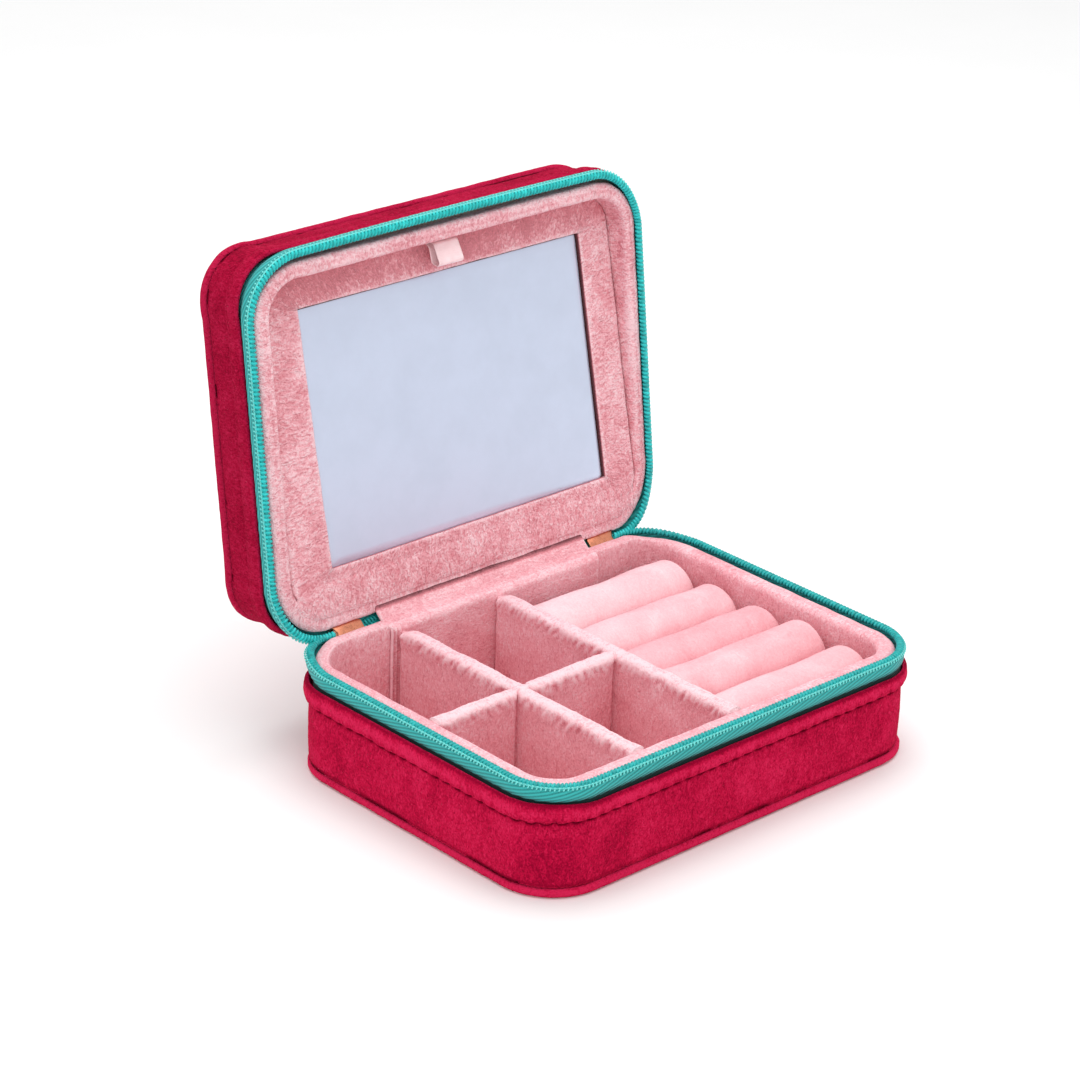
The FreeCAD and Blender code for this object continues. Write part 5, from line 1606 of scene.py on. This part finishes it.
class JEWELRYBOX_OT_pulls(Operator):
    """Pull tabs that hang from the sliders' bridges"""
    bl_idname = "jewelrybox.pulls"
    bl_label = "Zip pulls"

    def execute(self, context):
        for side in ("left", "right"):
            self.pull(side)
        return {"FINISHED"}

    def pull(self, side):
        node = f"{side}_pull"
        low, high = extent(node, ON_TAIL)
        middle, wide = (low[0] + high[0]) / 2, (high[2] - low[2]) / 2
        axis, tip = low[1] + 0.6 * MM, high[1]
        half_thick, bar_radius, rings, sides = 0.55 * MM, 0.55 * MM, 9, 12
        parts = [self.ring_plate(outer, inner, middle - half_thick, middle + half_thick)
                 for outer, inner in self.tab_rings(axis, tip, wide)]
        heights = np.linspace(low[2], high[2], rings)
        bar_line = np.stack([np.full(rings, middle), np.full(rings, axis), heights], -1)
        parts.append((tube(bar_line, bar_radius, sides, (1.0, 0.0, 0.0)), tube_faces(rings, sides)))
        points, faces = joined(parts)
        piece = add_piece(node + "_plated", points, faces, "rose_gold", body=f"{side}_pull", nodes=[node],
                          turn=ON_TAIL)
        crease_edges(piece)

    def tab_rings(self, axis, tip, wide):
        """Outer and inner lines of the eye that holds the bar, and of the tab with its hole."""
        step, arm, soft = 0.35 * MM, 0.8 * MM, 0.5 * MM
        eye = axis + 5.4 * MM
        hole_middle, hole_radius, hole_points = tip - 5.4 * MM, 1.1 * MM, 40
        eye_outer = rectangle(axis - 0.3 * MM, -wide, eye + arm, wide, soft, step)
        eye_inner = rounded_line([(axis, -wide + arm, 0.3 * MM), (eye, -wide + arm, arm),
                                  (eye, wide - arm, arm), (axis, wide - arm, 0.3 * MM)], step)
        neck, shoulder, blunt = eye + 0.2 * MM, eye + 4 * MM, wide * 0.9
        lower = [(neck, -wide * 0.8, 0.4 * MM), (shoulder, -wide, 3 * MM), (tip, -wide, blunt)]
        upper = [(y, -z, soft_end) for y, z, soft_end in reversed(lower)]
        tab_outer = rounded_line([*lower, *upper], step)
        angle = np.linspace(0, FULL_TURN, hole_points, endpoint=False)
        hole = np.stack([hole_middle + hole_radius * np.cos(angle), hole_radius * np.sin(angle)], -1)
        return (eye_outer, eye_inner), (tab_outer, hole)

    def ring_plate(self, outer, inner, low, high):
        """A flat plate between two closed lines, with rounded edges."""
        outer, inner = self.by_angle(outer, inner, count=72)
        unit = 1 * MM
        across, level = rectangle(0, low, unit, high, 0.22 * MM, 0.12 * MM).T
        gap = np.linalg.norm(inner - outer, axis=1)[:, None]
        share = across / unit
        edge = np.minimum(share, 1 - share) * unit / gap
        share = np.where(share < 0.5, edge, 1 - edge)[..., None]
        flat = outer[:, None] * (1 - share) + inner[:, None] * share
        grid = np.concatenate([np.broadcast_to(level, flat.shape[:2])[..., None],
                               flat + np.array([0, HINGE.z])], -1)
        return grid, grid_faces(grid, grid_corners(grid, RING))

    def by_angle(self, outer, inner, count):
        """The two lines at the same headings from the middle of the inner one."""
        middle = inner.mean(0)
        heading = np.linspace(-math.pi, math.pi, count, endpoint=False)
        lines = []
        for line in (outer, inner):
            spoke = line - middle
            turn = np.arctan2(spoke[:, 1], spoke[:, 0])
            order = np.argsort(turn)
            turn, spoke = turn[order], spoke[order]
            spokes = [np.interp(heading, turn, spoke[:, n], period=FULL_TURN) for n in (0, 1)]
            lines.append(middle + np.stack(spokes, -1))
        return lines


class JEWELRYBOX_OT_studio(Operator):
    """Pale floor, soft light and the camera"""
    bl_idname = "jewelrybox.studio"
    bl_label = "Studio"

    def execute(self, context):
        scene = context.scene
        studio = scene.jewelry_studio
        self.floor(scene)
        self.surroundings(scene, studio.sky)
        self.softbox(scene, "top_softbox", studio.top_light, place=(0.05, 0.08, 0.80),
                     aim=(0.0, 0.02, 0.05), side=0.7)
        self.softbox(scene, "left_softbox", studio.side_light, place=(-0.75, -0.35, 0.55),
                     aim=(0.0, 0.0, 0.05), side=0.6)
        self.camera(scene, studio)
        scene.view_settings.view_transform = "Standard"
        return {"FINISHED"}

    def floor(self, scene):
        half = 4.0
        mesh = bpy.data.meshes.new("studio_floor")
        corners = [(-half, -half, 0), (half, -half, 0), (half, half, 0), (-half, half, 0)]
        mesh.from_pydata(corners, [], [(0, 1, 2, 3)])
        made = Finish("studio_floor")
        cloud = made.noise(made.place(), 60 * MM, detail=3.0)
        made.shade(
            Base_Color=made.graded(cloud, colours().floor, [(0.3, 0.985), (0.7, 1.0)]),
            Roughness=0.8,
            Specular_IOR_Level=0.1,
        )
        mesh.materials.append(made.material)
        floor = bpy.data.objects.new("studio_floor", mesh)
        scene.collection.objects.link(floor)

    def surroundings(self, scene, strength):
        world = bpy.data.worlds.new("studio_surroundings")
        world.use_nodes = True
        backdrop = world.node_tree.nodes["Background"]
        backdrop.inputs["Color"].default_value = (1.0, 1.0, 1.0, 1.0)
        backdrop.inputs["Strength"].default_value = strength
        scene.world = world

    def softbox(self, scene, name, power, place, aim, side):
        light = bpy.data.lights.new(name, "AREA")
        light.energy = power
        light.size = side
        lamp = bpy.data.objects.new(name, light)
        lamp.location = place
        lamp.rotation_mode = "QUATERNION"
        lamp.rotation_quaternion = (Vector(aim) - Vector(place)).to_track_quat("-Z", "Y")
        scene.collection.objects.link(lamp)

    def camera(self, scene, studio):
        data = bpy.data.cameras.new("studio_camera")
        data.lens = studio.lens
        data.sensor_width = 36.0
        data.clip_start, data.clip_end = 0.01, 20.0
        camera = bpy.data.objects.new("studio_camera", data)
        turn = (Matrix.Rotation(studio.heading, 4, "Z")
                @ Matrix.Rotation(math.pi / 2 - studio.elevation, 4, "X")
                @ Matrix.Rotation(studio.roll, 4, "Z"))
        camera.matrix_world = Matrix.Translation(studio.camera_place) @ turn
        scene.collection.objects.link(camera)
        scene.camera = camera


OPERATORS = (
    JEWELRYBOX_OT_boards,
    JEWELRYBOX_OT_panels,
    JEWELRYBOX_OT_covers,
    JEWELRYBOX_OT_zip_tapes,
    JEWELRYBOX_OT_zip_coils,
    JEWELRYBOX_OT_base_lining,
    JEWELRYBOX_OT_dividers,
    JEWELRYBOX_OT_ring_rolls,
    JEWELRYBOX_OT_spine,
    JEWELRYBOX_OT_lid_lining,
    JEWELRYBOX_OT_mirror_flap,
    JEWELRYBOX_OT_ribbon,
    JEWELRYBOX_OT_sliders,
    JEWELRYBOX_OT_pulls,
    JEWELRYBOX_OT_studio,
)


class JEWELRYBOX_PT_pieces(Panel):
    """Lists the pieces of the jewelry box"""
    bl_idname = "JEWELRYBOX_PT_pieces"
    bl_label = "Jewelry Box"
    bl_space_type = "VIEW_3D"
    bl_region_type = "UI"
    bl_category = "Jewelry Box"

    def draw(self, context):
        for operator in OPERATORS:
            self.layout.operator(operator.bl_idname)


GROUPS = (CaseSizes, CaseColours, StudioSettings)


def register():
    for cls in (*GROUPS, *OPERATORS, JEWELRYBOX_PT_pieces):
        bpy.utils.register_class(cls)
    bpy.types.Scene.jewelry_sizes = PointerProperty(type=CaseSizes)
    bpy.types.Scene.jewelry_colours = PointerProperty(type=CaseColours)
    bpy.types.Scene.jewelry_studio = PointerProperty(type=StudioSettings)


def unregister():
    del bpy.types.Scene.jewelry_studio
    del bpy.types.Scene.jewelry_colours
    del bpy.types.Scene.jewelry_sizes
    for cls in reversed((*GROUPS, *OPERATORS, JEWELRYBOX_PT_pieces)):
        bpy.utils.unregister_class(cls)


def main():
    register()
    for operator in OPERATORS:
        group, name = operator.bl_idname.split(".")
        getattr(getattr(bpy.ops, group), name)()


if __name__ == "__main__":
    main()
